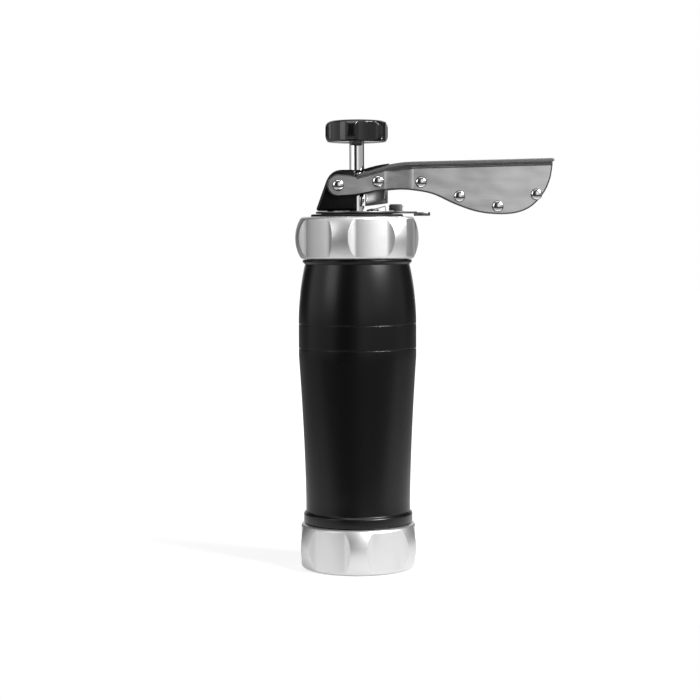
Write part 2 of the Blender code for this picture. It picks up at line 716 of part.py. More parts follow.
def hood_line():
    """Back, rounded corner and top of the hood, from its foot to its front edge."""
    foot = Vector((-HOOD_BACK, 0))
    shoulder = Vector((-HOOD_BACK + HOOD_SHOULDER_INSET, HOOD_SHOULDER_RISE))
    top = Vector((-HOOD_TOP_START, HOOD_HEIGHT))
    lean = HOOD_SHOULDER_INSET / HOOD_SHOULDER_RISE
    corner = Vector((shoulder.x + lean * (HOOD_HEIGHT - HOOD_SHOULDER_RISE), HOOD_HEIGHT))
    line = [foot]
    for i in range(HOOD_ROUND_STEPS + 1):
        t = i / HOOD_ROUND_STEPS
        line.append(shoulder * (1 - t) ** 2 + corner * 2 * t * (1 - t) + top * t ** 2)
    line.append(Vector((-HOOD_FRONT, HOOD_HEIGHT)))
    return line


def build_hood():
    line = hood_line()
    base = (0, 0, HOOD_BOTTOM)
    outer = [tuple(point) for point in line] + [(-HOOD_FRONT, 0)]
    bm = prism(bmesh.new(), outer, -HOOD_HALF_WIDTH, HOOD_HALF_WIDTH, "Y")
    hood = place_mesh("hood", bm, BLACK_PAINT, place=base)
    inner = [tuple(point) for point in offset_line(line, -HOOD_SHEET)]
    inner += [(OVERRUN, HOOD_HEIGHT - HOOD_SHEET), (OVERRUN, -OVERRUN)]
    side = HOOD_HALF_WIDTH - HOOD_SHEET
    hollow = place_mesh("hood_hollow", prism(bmesh.new(), inner, -side, side, "Y"), place=base)
    apply_shape(hood, hollow, "DIFFERENCE")
    tongue = bmesh.new()
    side = HOOD_HALF_WIDTH - TONGUE_INSET
    high = HOOD_HEIGHT - TONGUE_DROP
    low = HOOD_HEIGHT - HOOD_SHEET - TONGUE_DROP
    start = -HOOD_TOP_START / 2
    prism(tongue, [(start, low), (TONGUE_LENGTH, low), (TONGUE_LENGTH, high), (start, high)], -side, side, "Y")
    apply_shape(hood, place_mesh("guide_tongue", tongue, place=base), "UNION")
    foot = bmesh.new()
    side = HOOD_HALF_WIDTH - HOOD_SHEET / 2
    low, high = FOOT_LIFT, FOOT_LIFT + HOOD_SHEET
    lean = HOOD_SHOULDER_INSET / HOOD_SHOULDER_RISE
    outline = [(-FOOT_START, low), (-FOOT_END, low), (-FOOT_END, high), (-FOOT_START + lean * high, high)]
    prism(foot, outline, -side, side, "Y")
    apply_shape(hood, place_mesh("hood_foot", foot, place=base), "UNION")
    cutter = rod_cutter("hood_rod_hole", ROD_HOLE_RADIUS, HOOD_HEIGHT / 2, HOOD_HEIGHT + OVERRUN, place=base)
    apply_shape(hood, cutter, "DIFFERENCE")
    reach = HOOD_HALF_WIDTH + OVERRUN
    cutter = rod_cutter("hood_pivot_hole", PIVOT_RADIUS + GAP, -reach, reach,
                        place=(-PIVOT_OFFSET, 0, PIVOT_HEIGHT), turn=(math.pi / 2, 0, 0))
    apply_shape(hood, cutter, "DIFFERENCE")
    for y in (-SCREW_Y, SCREW_Y):
        cutter = rod_cutter("foot_screw_hole", SCREW_RADIUS + GAP, -OVERRUN, HOOD_SHEET + OVERRUN,
                            place=(-SCREW_X, y, HOOD_BOTTOM))
        apply_shape(hood, cutter, "DIFFERENCE")


def build_hood_screws():
    top = HOOD_BOTTOM + FOOT_LIFT + HOOD_SHEET + GAP
    seat = FLANGE_BOTTOM - GAP
    profile = [
        (0, seat - SCREW_HEAD_HEIGHT),
        (SCREW_HEAD_RADIUS - SCREW_HEAD_ROUND, seat - SCREW_HEAD_HEIGHT),
        (SCREW_HEAD_RADIUS, seat - SCREW_HEAD_HEIGHT + SCREW_HEAD_ROUND),
        (SCREW_HEAD_RADIUS, seat),
        (SCREW_RADIUS, seat),
        (SCREW_RADIUS, top),
        (0, top),
    ]
    for name, y in (("hood_screw_near", -SCREW_Y), ("hood_screw_far", SCREW_Y)):
        place_mesh(name, turned(profile, SMALL_SEGMENTS), DULL_STEEL, place=(-SCREW_X, y, 0))


def rivet_profile(shank, head, inner, dome):
    """A rivet with two domed heads whose inner faces lie at plus and minus inner."""
    steps = RIVET_DOME_STEPS
    angles = [math.pi / 2 * i / steps for i in range(steps + 1)]
    upper = [(head * math.cos(a) if a < math.pi / 2 else 0, inner + dome * math.sin(a)) for a in angles]
    upper = [(shank, inner)] + upper
    lower = [(radius, -height) for radius, height in reversed(upper)]
    return lower + upper


def lever_side_line(x):
    """Inner face of the sheet and how steeply it runs, measured across from the middle."""
    share = min(max((x - JOGGLE_START) / (JOGGLE_END - JOGGLE_START), 0), 1)
    eased = share * share * (3 - 2 * share)
    inner = EAR_INNER + (HALF_GAP - EAR_INNER) * eased
    slope = (HALF_GAP - EAR_INNER) * 6 * share * (1 - share) / (JOGGLE_END - JOGGLE_START)
    return inner, LEVER_SHEET * math.sqrt(1 + slope ** 2)


def lever_outline():
    """Stations along the lever: x, lower edge and top of the sheet, all from the pivot."""
    lower = [Vector((x * LEVER_REACH, z * LEVER_DEPTH)) for x, z in LOWER_EDGE_SHARES]
    lower = smooth_line([Vector((0, -EAR_RADIUS))] + lower, LEVER_STEPS)
    top = [Vector((x * LEVER_REACH, z * LEVER_DEPTH)) for x, z in TOP_LINE_SHARES]
    top = smooth_line(top, LEVER_STEPS)
    start = FLANGE_START_SHARE * LEVER_REACH
    stations = []
    for i in range(1, EAR_STEPS):
        angle = math.pi / 2 * i / EAR_STEPS
        rise = EAR_RADIUS * math.sin(angle)
        stations.append((-EAR_RADIUS * math.cos(angle), -rise, rise))
    for point in lower:
        flat = point.x < start
        high = EAR_RADIUS if flat else height_on(top, point.x) - FLANGE_STEP
        stations.append((point.x, point.y, high))
    return stations, top


def handle_rivet_places():
    """Places of the handle rivets from the pivot, all past the joggle."""
    straight = LEVER_REACH - JOGGLE_END
    return [(JOGGLE_END + straight * x, LEVER_DEPTH * z) for x, z in HANDLE_RIVET_SHARES]


def build_lever_half(name, side, lever_axis):
    stations, top = lever_outline()
    sheet = []
    for x, low, high in stations:
        inner, thick = lever_side_line(x)
        sheet.append(
            [
                (x, side * inner, low),
                (x, side * (inner + thick), low),
                (x, side * (inner + thick), high),
                (x, side * inner, high),
            ]
        )
    half = place_mesh(name, lofted(sheet), CHROME, lever_axis)
    flange = []
    for point in top:
        inner, thick = lever_side_line(point.x)
        face = inner + thick
        bend = min(FLANGE_BEND, (FLANGE_HALF_WIDTH - face) * FLANGE_BEND_SHARE)
        under = point.y - LEVER_SHEET
        flange.append(
            [
                (point.x, side * (inner + thick / 2), point.y),
                (point.x, side * FLANGE_HALF_WIDTH, point.y),
                (point.x, side * FLANGE_HALF_WIDTH, under),
                (point.x, side * (face + bend), under),
                (point.x, side * face, under - bend),
                (point.x, side * (inner + thick / 2), under - bend),
            ]
        )
    apply_shape(half, place_mesh(name + "_flange", lofted(flange), None, lever_axis), "UNION")
    across = (math.pi / 2, 0, 0)
    reach = FLANGE_HALF_WIDTH + OVERRUN
    holes = [(0, 0, PIVOT_RADIUS), (PAWL_REACH, PAWL_RISE, PAWL_RIVET_RADIUS)]
    holes += [(x, z, RIVET_RADIUS) for x, z in handle_rivet_places()]
    for i, (x, z, radius) in enumerate(holes):
        cutter = rod_cutter(f"{name}_hole_{i}", radius + GAP, -reach, reach, lever_axis, (x, 0, z), across)
        apply_shape(half, cutter, "DIFFERENCE")


def build_lever():
    lever_axis = axis_empty("lever_axis", (-PIVOT_OFFSET, 0, PIVOT_HEIGHT))
    build_lever_half("lever_sheet_near", -1, lever_axis)
    build_lever_half("lever_sheet_far", 1, lever_axis)
    across = (math.pi / 2, 0, 0)
    ear_seat = EAR_OUTER + GAP
    pivot = turned(rivet_profile(PIVOT_RADIUS, RIVET_HEAD_RADIUS, ear_seat, RIVET_DOME), RIVET_SEGMENTS)
    place_mesh("pivot_rivet", pivot, BRIGHT_CHROME, place=(-PIVOT_OFFSET, 0, PIVOT_HEIGHT), turn=across)
    pawl = turned(rivet_profile(PAWL_RIVET_RADIUS, RIVET_HEAD_RADIUS, ear_seat, RIVET_DOME), RIVET_SEGMENTS)
    place_mesh("pawl_rivet", pawl, BRIGHT_CHROME, lever_axis, (PAWL_REACH, 0, PAWL_RISE), across)
    web_seat = HALF_GAP + LEVER_SHEET + GAP
    for i, (x, z) in enumerate(handle_rivet_places()):
        bm = turned(rivet_profile(RIVET_RADIUS, RIVET_HEAD_RADIUS, web_seat, RIVET_DOME), RIVET_SEGMENTS)
        place_mesh(f"handle_rivet_{i + 1}", bm, BRIGHT_CHROME, lever_axis, (x, 0, z), across)


def build_push_pawl():
    """A channel folded around the rod's right side: two sides, a back and two front lips."""
    pawl_axis = axis_empty("pawl_axis", (PAWL_X, 0, PAWL_HEIGHT))
    front, back, wide = -PAWL_FRONT, PAWL_BACK, PAWL_HALF_WIDTH
    inset = PAWL_BEND_INSET
    path = [
        (front, PAWL_SLOT_HALF_WIDTH),
        (front, wide),
        (back - inset, wide),
        (back, wide - inset),
        (back, -wide + inset),
        (back - inset, -wide),
        (front, -wide),
        (front, -PAWL_SLOT_HALF_WIDTH),
    ]
    low, high = -PAWL_FRONT_DROP - OVERRUN, PAWL_EYE_RADIUS + OVERRUN
    bm = bmesh.new()
    bottom = [bm.verts.new((x, y, low)) for x, y in path]
    top = [bm.verts.new((x, y, high)) for x, y in path]
    for i in range(len(path) - 1):
        bm.faces.new((bottom[i], bottom[i + 1], top[i + 1], top[i]))
    bmesh.ops.recalc_face_normals(bm, faces=bm.faces)
    pawl = place_mesh("push_pawl", bm, CHROME, pawl_axis)
    fold = pawl.modifiers.new("sheet", "SOLIDIFY")
    fold.thickness = PAWL_SHEET
    fold.offset = -1
    fold.use_even_offset = True
    eye = arc(PAWL_EYE_RADIUS, math.pi, 0, PAWL_EYE_STEPS)
    outline = [(front - OVERRUN, -PAWL_FRONT_DROP)]
    outline += [(front - OVERRUN, -PAWL_SHOULDER_DROP), (-PAWL_FACE_START, -PAWL_SHOULDER_DROP)]
    outline += eye
    outline += [(back + OVERRUN, -PAWL_SHOULDER_DROP), (back + OVERRUN, -PAWL_BACK_DROP)]
    side = bmesh.new()
    reach = wide + OVERRUN
    prism(side, outline, -reach, reach, "Y")
    apply_shape(pawl, place_mesh("pawl_side_outline", side, None, pawl_axis), "INTERSECT")
    slot = bmesh.new()
    half = PAWL_SLOT_HALF_WIDTH
    prism(
        slot, [(0, low), (back + OVERRUN, low), (back + OVERRUN, -PAWL_SLOT_DROP), (0, -PAWL_SLOT_DROP)],
        -half, half, "Y",
    )
    apply_shape(pawl, place_mesh("pawl_back_slot", slot, None, pawl_axis), "DIFFERENCE")
    tooth = bmesh.new()
    tip, root = front, back - PAWL_SHEET / 2
    outline = [
        (tip, -TOOTH_TIP_DROP),
        (root, -TOOTH_ROOT_DROP - TOOTH_THICKNESS),
        (root, -TOOTH_ROOT_DROP),
        (tip, -TOOTH_TIP_DROP + TOOTH_THICKNESS / 2),
    ]
    half = wide - PAWL_SHEET / 2
    prism(tooth, outline, -half, half, "Y")
    apply_shape(pawl, place_mesh("pawl_tooth", tooth, None, pawl_axis), "UNION")
    cutter = rod_cutter("pawl_eye", PAWL_RIVET_RADIUS + GAP, -reach, reach, pawl_axis, turn=(math.pi / 2, 0, 0))
    apply_shape(pawl, cutter, "DIFFERENCE")


def build_holding_pawl():
    floor = POCKET_FLOOR + GAP
    tip = ROD_RADIUS + GAP
    path = [
        (LEAF_FOOT_START, floor),
        (LEAF_KNEE, floor),
        (LEAF_APEX + LEAF_THICKNESS, floor + LEAF_APEX_RISE),
        (tip, floor + LEAF_TIP_RISE),
    ]
    bm = prism(bmesh.new(), strip_outline(path, LEAF_THICKNESS), -LEAF_HALF_WIDTH, LEAF_HALF_WIDTH, "Y")
    leaf = place_mesh("holding_pawl", bm, CHROME)
    cutter = rod_cutter("leaf_hole", LEAF_RIVET_RADIUS + GAP, floor - OVERRUN,
                        floor + LEAF_THICKNESS + OVERRUN, place=(LEAF_RIVET_X, 0, 0))
    apply_shape(leaf, cutter, "DIFFERENCE")
    seat = floor + LEAF_THICKNESS + GAP
    profile = [
        (0, POCKET_FLOOR - LEAF_RIVET_LENGTH),
        (LEAF_RIVET_RADIUS, POCKET_FLOOR - LEAF_RIVET_LENGTH),
        (LEAF_RIVET_RADIUS, seat),
        (LEAF_RIVET_HEAD_RADIUS, seat),
        (LEAF_RIVET_HEAD_RADIUS, seat + LEAF_RIVET_HEAD_HEIGHT),
        (0, seat + LEAF_RIVET_HEAD_HEIGHT),
    ]
    place_mesh("holding_pawl_rivet", turned(profile, SMALL_SEGMENTS), DULL_STEEL, place=(LEAF_RIVET_X, 0, 0))


def build_dose_selector():
    half = SELECTOR_ARM_HALF_WIDTH
    edge = math.asin(half / SELECTOR_RADIUS)
    outline = arc(SELECTOR_RADIUS, edge, 2 * math.pi - edge, RING_SEGMENTS - 4)
    outline += [(SELECTOR_ARM_END, -half), (SELECTOR_ARM_END, half)]
    base = (0, 0, SELECTOR_BOTTOM)
    plate = prism(bmesh.new(), outline, 0, SELECTOR_THICKNESS, "Z")
    selector = place_mesh("dose_selector", plate, DULL_STEEL, place=base)
    cutter = rod_cutter("selector_hole", SELECTOR_HOLE_RADIUS, -OVERRUN, SELECTOR_THICKNESS + OVERRUN, place=base)
    apply_shape(selector, cutter, "DIFFERENCE")
    wide, corner = TAB_HALF_WIDTH, TAB_CORNER
    outline = [
        (SELECTOR_ARM_END - corner, -wide + corner),
        (SELECTOR_ARM_END, -wide),
        (TAB_END - corner, -wide),
        (TAB_END, -wide + corner),
        (TAB_END, wide - corner),
        (TAB_END - corner, wide),
        (SELECTOR_ARM_END, wide),
        (SELECTOR_ARM_END - corner, wide - corner),
    ]
    tab = prism(bmesh.new(), outline, -TAB_DROP, TAB_THICKNESS - TAB_DROP, "Z")
    apply_shape(selector, place_mesh("finger_tab", tab, place=base), "UNION")
    over_boss = SELECTOR_THICKNESS + GAP
    sunk = SELECTOR_THICKNESS - STOP_EMBED
    high = SELECTOR_THICKNESS + STOP_RISE
    landing = SELECTOR_HOLE_RADIUS + GAP
    outline = [
        (STOP_START, over_boss),
        (landing, over_boss),
        (landing, sunk),
        (STOP_END, sunk),
        (STOP_END, high - STOP_CORNER),
        (STOP_END - STOP_CORNER, high),
        (STOP_START + STOP_CORNER, high),
        (STOP_START, high - STOP_CORNER),
    ]
    stop = prism(bmesh.new(), outline, -STOP_THICKNESS / 2, STOP_THICKNESS / 2, "Y")
    apply_shape(selector, place_mesh("selector_stop", stop, place=base), "UNION")
    seat = BOSS_TOP + GAP
    profile = [
        (0, BOSS_TOP - KEEPER_LENGTH),
        (KEEPER_RADIUS, BOSS_TOP - KEEPER_LENGTH),
        (KEEPER_RADIUS, seat),
        (KEEPER_HEAD_RADIUS, seat),
        (KEEPER_HEAD_RADIUS, seat + KEEPER_HEAD_HEIGHT / 2),
        (KEEPER_RADIUS, seat + KEEPER_HEAD_HEIGHT),
        (0, seat + KEEPER_HEAD_HEIGHT),
    ]
    for name, side in (("selector_keeper_near", -1), ("selector_keeper_far", 1)):
        place = keeper_place(side)
        place_mesh(name, turned(profile, SMALL_SEGMENTS), DULL_STEEL, place=(place[0], place[1], 0))


def build_rod():
    profile = [
        (0, ROD_BOTTOM),
        (JOURNAL_RADIUS - ROD_CHAMFER, ROD_BOTTOM),
        (JOURNAL_RADIUS, ROD_BOTTOM + ROD_CHAMFER),
        (JOURNAL_RADIUS, ROD_SHOULDER),
        (ROD_RADIUS, ROD_SHOULDER),
        (ROD_RADIUS, ROD_TOP - ROD_CHAMFER),
        (ROD_RADIUS - ROD_CHAMFER, ROD_TOP),
        (0, ROD_TOP),
    ]
    rod = place_mesh("rack_rod", turned(profile, ROD_SEGMENTS), BRIGHT_CHROME)
    bm = bmesh.new()
    top = KNOB_BOTTOM - RACK_START
    bottom = ROD_SHOULDER + RACK_END_MARGIN
    count = int((top - bottom) / RACK_PITCH)
    root, outside = ROD_RADIUS - RACK_DEPTH, ROD_RADIUS + RACK_OVERRUN
    climb = RACK_SLOPE_LENGTH * (RACK_DEPTH + RACK_OVERRUN) / RACK_DEPTH
    for i in range(count):
        z = top - RACK_PITCH * (i + 1)
        prism(bm, [(root, z), (outside, z), (outside, z + climb)], -ROD_RADIUS, ROD_RADIUS, "Y")
    apply_shape(rod, place_mesh("rack_notches", bm), "DIFFERENCE")


def build_knob():
    half = KNOB_BASE_ROUND_HEIGHT
    side = []
    for i in range(KNOB_ROUND_STEPS + 1):
        angle = math.pi / 2 * i / KNOB_ROUND_STEPS
        spread = (KNOB_RADIUS - KNOB_UNDERSIDE_RADIUS) * math.sin(angle)
        side.append((KNOB_UNDERSIDE_RADIUS + spread, half * (1 - math.cos(angle))))
    shoulder = KNOB_HEIGHT - KNOB_CROWN - KNOB_SIDE_ROUND
    for i in range(KNOB_ROUND_STEPS + 1):
        angle = math.pi / 2 * i / KNOB_ROUND_STEPS
        inset = KNOB_SIDE_ROUND * (1 - math.cos(angle))
        side.append((KNOB_RADIUS - inset, shoulder + KNOB_SIDE_ROUND * math.sin(angle)))
    socket = ROD_HOLE_RADIUS
    profile = [(0, KNOB_SOCKET_DEPTH), (socket, KNOB_SOCKET_DEPTH), (socket, 0)] + side + [(0, KNOB_HEIGHT)]
    place = (0, 0, KNOB_BOTTOM)
    knob = place_mesh("knob", turned(profile, KNOB_SEGMENTS), BLACK_GLOSS, place=place)
    cutter = flute_cutters(
        "knob_flutes", KNOB_RADIUS - KNOB_FLUTE_DEPTH, KNOB_RADIUS + OVERRUN,
        -OVERRUN, KNOB_HEIGHT + OVERRUN, KNOB_FLUTE_TURN, place,
    )
    apply_shape(knob, cutter, "DIFFERENCE")


def build_piston():
    inner = PISTON_RADIUS - PISTON_WALL
    hub = RECESS_RADIUS + HUB_WALL
    bore = JOURNAL_RADIUS + GAP
    top = PISTON_BOTTOM + PISTON_HEIGHT
    floor = PISTON_BOTTOM + PISTON_FLOOR
    profile = [
        (RECESS_RADIUS, PISTON_BOTTOM),
        (PISTON_RADIUS - PISTON_EDGE, PISTON_BOTTOM),
        (PISTON_RADIUS, PISTON_BOTTOM + PISTON_EDGE),
        (PISTON_RADIUS, top),
        (inner, top),
        (inner, floor),
        (hub, floor),
        (hub, HUB_ROOF_TOP),
        (bore, HUB_ROOF_TOP),
        (bore, HUB_ROOF_BOTTOM),
        (RECESS_RADIUS, HUB_ROOF_BOTTOM),
    ]
    place_mesh("piston", turned(profile, PISTON_SEGMENTS), SATIN_ALUMINIUM)
    bm = prism(bmesh.new(), circle(NUT_RADIUS, NUT_SIDE_COUNT), NUT_BOTTOM, NUT_TOP, "Z")
    nut = place_mesh("piston_nut", bm, DULL_STEEL)
    cutter = rod_cutter("nut_hole", bore, NUT_BOTTOM - OVERRUN, NUT_TOP + OVERRUN)
    apply_shape(nut, cutter, "DIFFERENCE")


def spring_points():
    """Centre line of the wire: a tail to the hood's back, the coil, and the arm under the pawl's rivet."""
    last = HOOD_HALF_WIDTH - HOOD_SHEET - SPRING_SIDE_GAP - SPRING_WIRE_RADIUS
    first = last - SPRING_PITCH * SPRING_TURNS
    steps = int(SPRING_TURNS * SPRING_STEPS_PER_TURN)
    coil = []
    for i in range(steps + 1):
        turn = 2 * math.pi * SPRING_TURNS * (i / steps - 1)
        x = -PIVOT_OFFSET + SPRING_RADIUS * math.sin(turn)
        z = PIVOT_HEIGHT - SPRING_RADIUS * math.cos(turn)
        coil.append(Vector((x, first + (last - first) * i / steps, z)))
    tail = coil[0] + Vector((-SPRING_TAIL, 0, 0))
    end = coil[-1] + Vector((SPRING_ARM, 0, SPRING_ARM_RISE))
    wire = 2 * SPRING_WIRE_RADIUS
    before_end = coil[-1].lerp(end, 1 - wire / (end - coil[-1]).length)
    return [tail] + coil + [before_end, end]


def least_gap(points, steps_apart, thickness):
    """Least clear distance between stretches of the wire that lie apart along it."""
    least = None
    for i, point in enumerate(points):
        for other in points[i + steps_apart:]:
            distance = (other - point).length - thickness
            least = distance if least is None else min(least, distance)
    return least


def build_return_spring():
    points = spring_points()
    curve = bpy.data.curves.new("return_spring", "CURVE")
    curve.dimensions = "3D"
    curve.bevel_depth = SPRING_WIRE_RADIUS
    curve.bevel_resolution = 1
    curve.use_fill_caps = True
    line = curve.splines.new("POLY")
    line.points.add(len(points) - 1)
    for target, point in zip(line.points, points):
        target.co = (*point, 1)
    spring = bpy.data.objects.new("return_spring", curve)
    curve.materials.append(finish_material("return_spring", BRIGHT_CHROME))
    bpy.context.collection.objects.link(spring)
    weld = spring.modifiers.new("caps", "WELD")
    weld.merge_threshold = MERGE
    clear = least_gap(points, SPRING_STEPS_PER_TURN - 2, 2 * SPRING_WIRE_RADIUS)
    print(f"return spring: least gap between turns {clear / MM:.2f} mm")


def main():
    clear_scene()
    build_barrel()
    build_ring_nuts()
    build_pattern_disc()
    build_head_plate()
    build_bush()
    build_hood()
    build_hood_screws()
    build_lever()
    build_push_pawl()
    build_holding_pawl()
    build_dose_selector()
    build_rod()
    build_knob()
    build_piston()
    build_return_spring()


main()
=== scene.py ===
"""Looks of the hand cookie press: fine shapes, finishes, light and camera.

Lengths are in millimetres and angles in degrees until they reach a mesh, a lamp or the camera.
A profile is a list of (radius, height), and a third number rounds that corner by its radius.
"""

import math

import bpy
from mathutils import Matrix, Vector


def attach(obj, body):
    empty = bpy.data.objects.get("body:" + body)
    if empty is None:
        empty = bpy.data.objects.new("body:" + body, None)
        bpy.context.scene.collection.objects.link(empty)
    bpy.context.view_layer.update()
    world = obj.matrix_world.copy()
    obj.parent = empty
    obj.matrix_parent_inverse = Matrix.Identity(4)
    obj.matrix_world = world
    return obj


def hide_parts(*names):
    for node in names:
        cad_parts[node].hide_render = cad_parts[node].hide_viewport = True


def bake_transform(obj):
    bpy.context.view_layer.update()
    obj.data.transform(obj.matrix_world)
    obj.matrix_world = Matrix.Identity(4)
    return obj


MM = 0.001

# Facets
SPIN_STEPS = 144
NUT_SPIN_STEPS = 192
KNOB_SPIN_STEPS = 160
ROD_SPIN_STEPS = 96
RIVET_SPIN_STEPS = 56
FILLET_STEPS = 5
QUARTER_STEPS = 12
MERGE = 0.002 * MM
COPLANAR = 0.5

# Angles past which an edge is shaded sharp
SHARP = 35
NUT_SHARP = 24
KNOB_SHARP = 28
ROD_SHARP = 25
LEVER_SHARP = 40
SPRING_SHARP = 70

# Angle past which an edge is rounded, where a piece has none of its own
ROUNDED_PAST = 40

# How far a flute's cutter stands out above and below
CUTTER_MARGIN = 1

# Barrel
BORE_RADIUS = 22.6
THREAD_RADIUS = 25.0
THREAD_ROOT_RADIUS = 24.4
THREAD_PITCH = 2.4
THREAD_TO_END = 0.5
THREAD_TO_COLLAR = 1.0
NECK_RADIUS = 25.3
COLLAR_RADIUS = 26.4
BELLY_RADIUS = 28.45
BARREL_BOTTOM = 3.0
COLLAR_BOTTOM = 22.2
COLLAR_TOP = 26.6
NECK_BOTTOM = 27.6
SWELL_BOTTOM = 33.0
SWELL_STEPS = 28
SWELL_POWER = 1.5
BELLY_BOTTOM = 103.0
BELLY_TOP = 119.0
TAPER_STEPS = 20
TAPER_POWER = 2
NECK_TOP = 147.2
UPPER_COLLAR_BOTTOM = 148.3
UPPER_COLLAR_TOP = 149.3
BARREL_TOP = 164.4
RIM_FILLET = 0.2
BAND_LINES = (106.7, 118.5)
BAND_LINE_DEPTH = 0.22
BAND_LINE_HALF_WIDTH = 0.28
LOWER_COLLAR = [
    (THREAD_ROOT_RADIUS, COLLAR_BOTTOM), (COLLAR_RADIUS, COLLAR_BOTTOM, 0.35),
    (COLLAR_RADIUS, COLLAR_TOP, 0.9), (NECK_RADIUS, NECK_BOTTOM, 0.6),
    (NECK_RADIUS, SWELL_BOTTOM),
]
UPPER_COLLAR = [
    (COLLAR_RADIUS, UPPER_COLLAR_BOTTOM, 0.3), (COLLAR_RADIUS, UPPER_COLLAR_TOP, 0.2),
    (THREAD_ROOT_RADIUS, UPPER_COLLAR_TOP),
]

# Crest and root of a thread's rib, as shares of its pitch
THREAD_CREST = (0.2, 0.45)
THREAD_ROOT = (0.7, 0.9)

# Ring nuts; the points of an end count inwards from the edge and away from the end's plane
RING_BORE_RADIUS = 25.3
RING_BORE_FILLET = 0.4
RING_LIP_FILLET = 0.3
RING_EDGE_RADIUS = 26.9
RING_EDGE_HEIGHT = 0.7
RING_END = [(1.1, 0.0), (0.5, 0.12)]
RING_BULGE = 3.1
RING_SIDE_STEPS = 30
RINGS = {
    "lower_ring_nut": {
        "body": "lower_ring", "bottom": 0.0, "height": 21.9, "turn": -60.0,
        "lip_end": "bottom", "lip_radius": 22.2, "lip_height": 1.2,
    },
    "upper_ring_nut": {
        "body": "upper_ring", "bottom": 149.6, "height": 20.4, "turn": -76.0,
        "lip_end": "top", "lip_radius": 22.6, "lip_height": 2.4,
    },
}

# Flutes of the ring nuts and the knob; the angles run from a floor's middle, then up its wall
FLUTES = 6
FLUTE_FLOOR_STEPS = 28
FLUTE_WALL_STEPS = 6
FLUTE_WALL_POWER = 1.6
FLUTE_OUTSIDE = 1.5
RING_FLUTES = {
    "floor_radius": 27.7, "rim_radius": RING_EDGE_RADIUS + RING_BULGE,
    "floor_angle": 15.6, "wall_angle": 6.8,
}
KNOB_FLUTES = {"floor_radius": 14.35, "rim_radius": 15.5, "floor_angle": 16.5, "wall_angle": 7.0}

# Knob; heights count from its bottom
KNOB_BOTTOM = 205.8
KNOB_FOOT_RADIUS = 12.9
KNOB_FOOT_FILLET = 0.4
KNOB_FLARE = 2.6
KNOB_FLARE_HEIGHT = 3.2
KNOB_RIM_TOP = 6.7
KNOB_ROUNDING = 3.6
KNOB_CROWN = [(8.0, 10.72), (4.0, 10.93), (0, 11.0)]
KNOB_HEIGHT = 11
KNOB_SOCKET = [(0, 7), (3.9, 7)]
KNOB_SOCKET_FILLET = 0.3
KNOB_TURN = -70

# Toothed rod
ROD_RADIUS = 3.6
ROD_PROFILE = [
    (0, 13.9), (2.5, 13.9, 0.4), (2.5, 20.8), (ROD_RADIUS, 20.8, 0.2), (ROD_RADIUS, 212.5, 0.4),
    (0, 212.5),
]
TEETH = 47
TOOTH_PITCH = 3.2
RACK_TOP = 188.1
NOTCH_HEIGHT = 2.875
NOTCH_INSIDE = 2.4
NOTCH_OUTSIDE = 3.9

# Rivets: x, z, radius of the shank, and how far from the middle plane the heads sit
RIVETS = {
    "pivot_rivet": (-9.0, 185.0, 2.3, 8.9),
    "pawl_rivet": (10.1, 186.7, 2.0, 8.9),
    "handle_rivet_1": (30.9, 186.5, 1.5, 1.95),
    "handle_rivet_2": (49.38, 179.61, 1.5, 1.95),
    "handle_rivet_3": (67.87, 174.69, 1.5, 1.95),
    "handle_rivet_4": (86.5, 180.41, 1.5, 1.95),
}
RIVET_HEAD_RADIUS = 2.75
RIVET_RIM = 0.15
RIVET_DOME = 1.25
# Beyond this radius the heads' feet are painted dark as shade
RIVET_FOOT_RADIUS = 2.42

# Lever; points are x and z
PIVOT = (-9.0, 185.0)
EAR_RADIUS = 5.4
EAR_TURNS = range(80, 271, 10)
EAR_TOP = [(-1.2, 189.5), (-3.0, 189.9)]
EAR_INNER = 7.1
WEB_INNER = 0.15
LEVER_SHEET = 1.5
LEVER_EDGE_ANGLE = 50
LOWER_EDGE = [
    (-0.57, 180.19), (10.05, 182.09), (19.84, 183.0), (26.9, 182.6), (36.6, 180.7),
    (47.1, 175.9), (57.7, 172.2), (68.2, 170.9), (77.7, 171.7), (84.9, 175.2), (90.9, 182.3),
    (93.5, 189.0), (94.3, 194.4),
]
LOWER_EDGE_STEP = 1.2
LOWER_EDGE_GAP = 0.1
TIP = (93.96, 191.7)
TOP_LINE = [
    (-0.26, 190.3), (6.2, 191.95), (12.3, 193.75), (16.5, 195.0), (23.2, 195.95), (39.8, 196.4),
    (63.9, 196.9), (94.3, 197.6),
]
TOP_LINE_STEP = 1.5
TOP_LINE_GAP = 0.3
WEB_BELOW_TOP = 1.2
WEB_BEVEL = 0.7
JOGGLE = (13.0, 27.5)
JOGGLE_CUTS = 28
JOGGLE_BEND = 0.22
# Middle of the bend, and how far the painted shade reaches from it
MIDDLE_OF_BEND = 18.0
JOGGLE_SHADE_REACH = (5.5, 11.0)

# Flange along the lever's top; its bend runs between two shares of the way across the sheet
FLANGE_HALF_WIDTH = 9.2
FLANGE_GRID = (96, 20)
FLANGE_RADIUS = 2.6
FLANGE_RADIUS_SHARE = 0.6
FLANGE_BEND = (0.05, 0.65)
FLANGE_SUNK = 0.02
FLANGE_ROOT = (0.3, 0.5)
FLANGE_BEVEL = 0.3
# Faces of the bend's inside that turn outward and down past these get painted shade
FLANGE_INSIDE_OUTWARD = 0.15
FLANGE_INSIDE_DOWN = -0.2

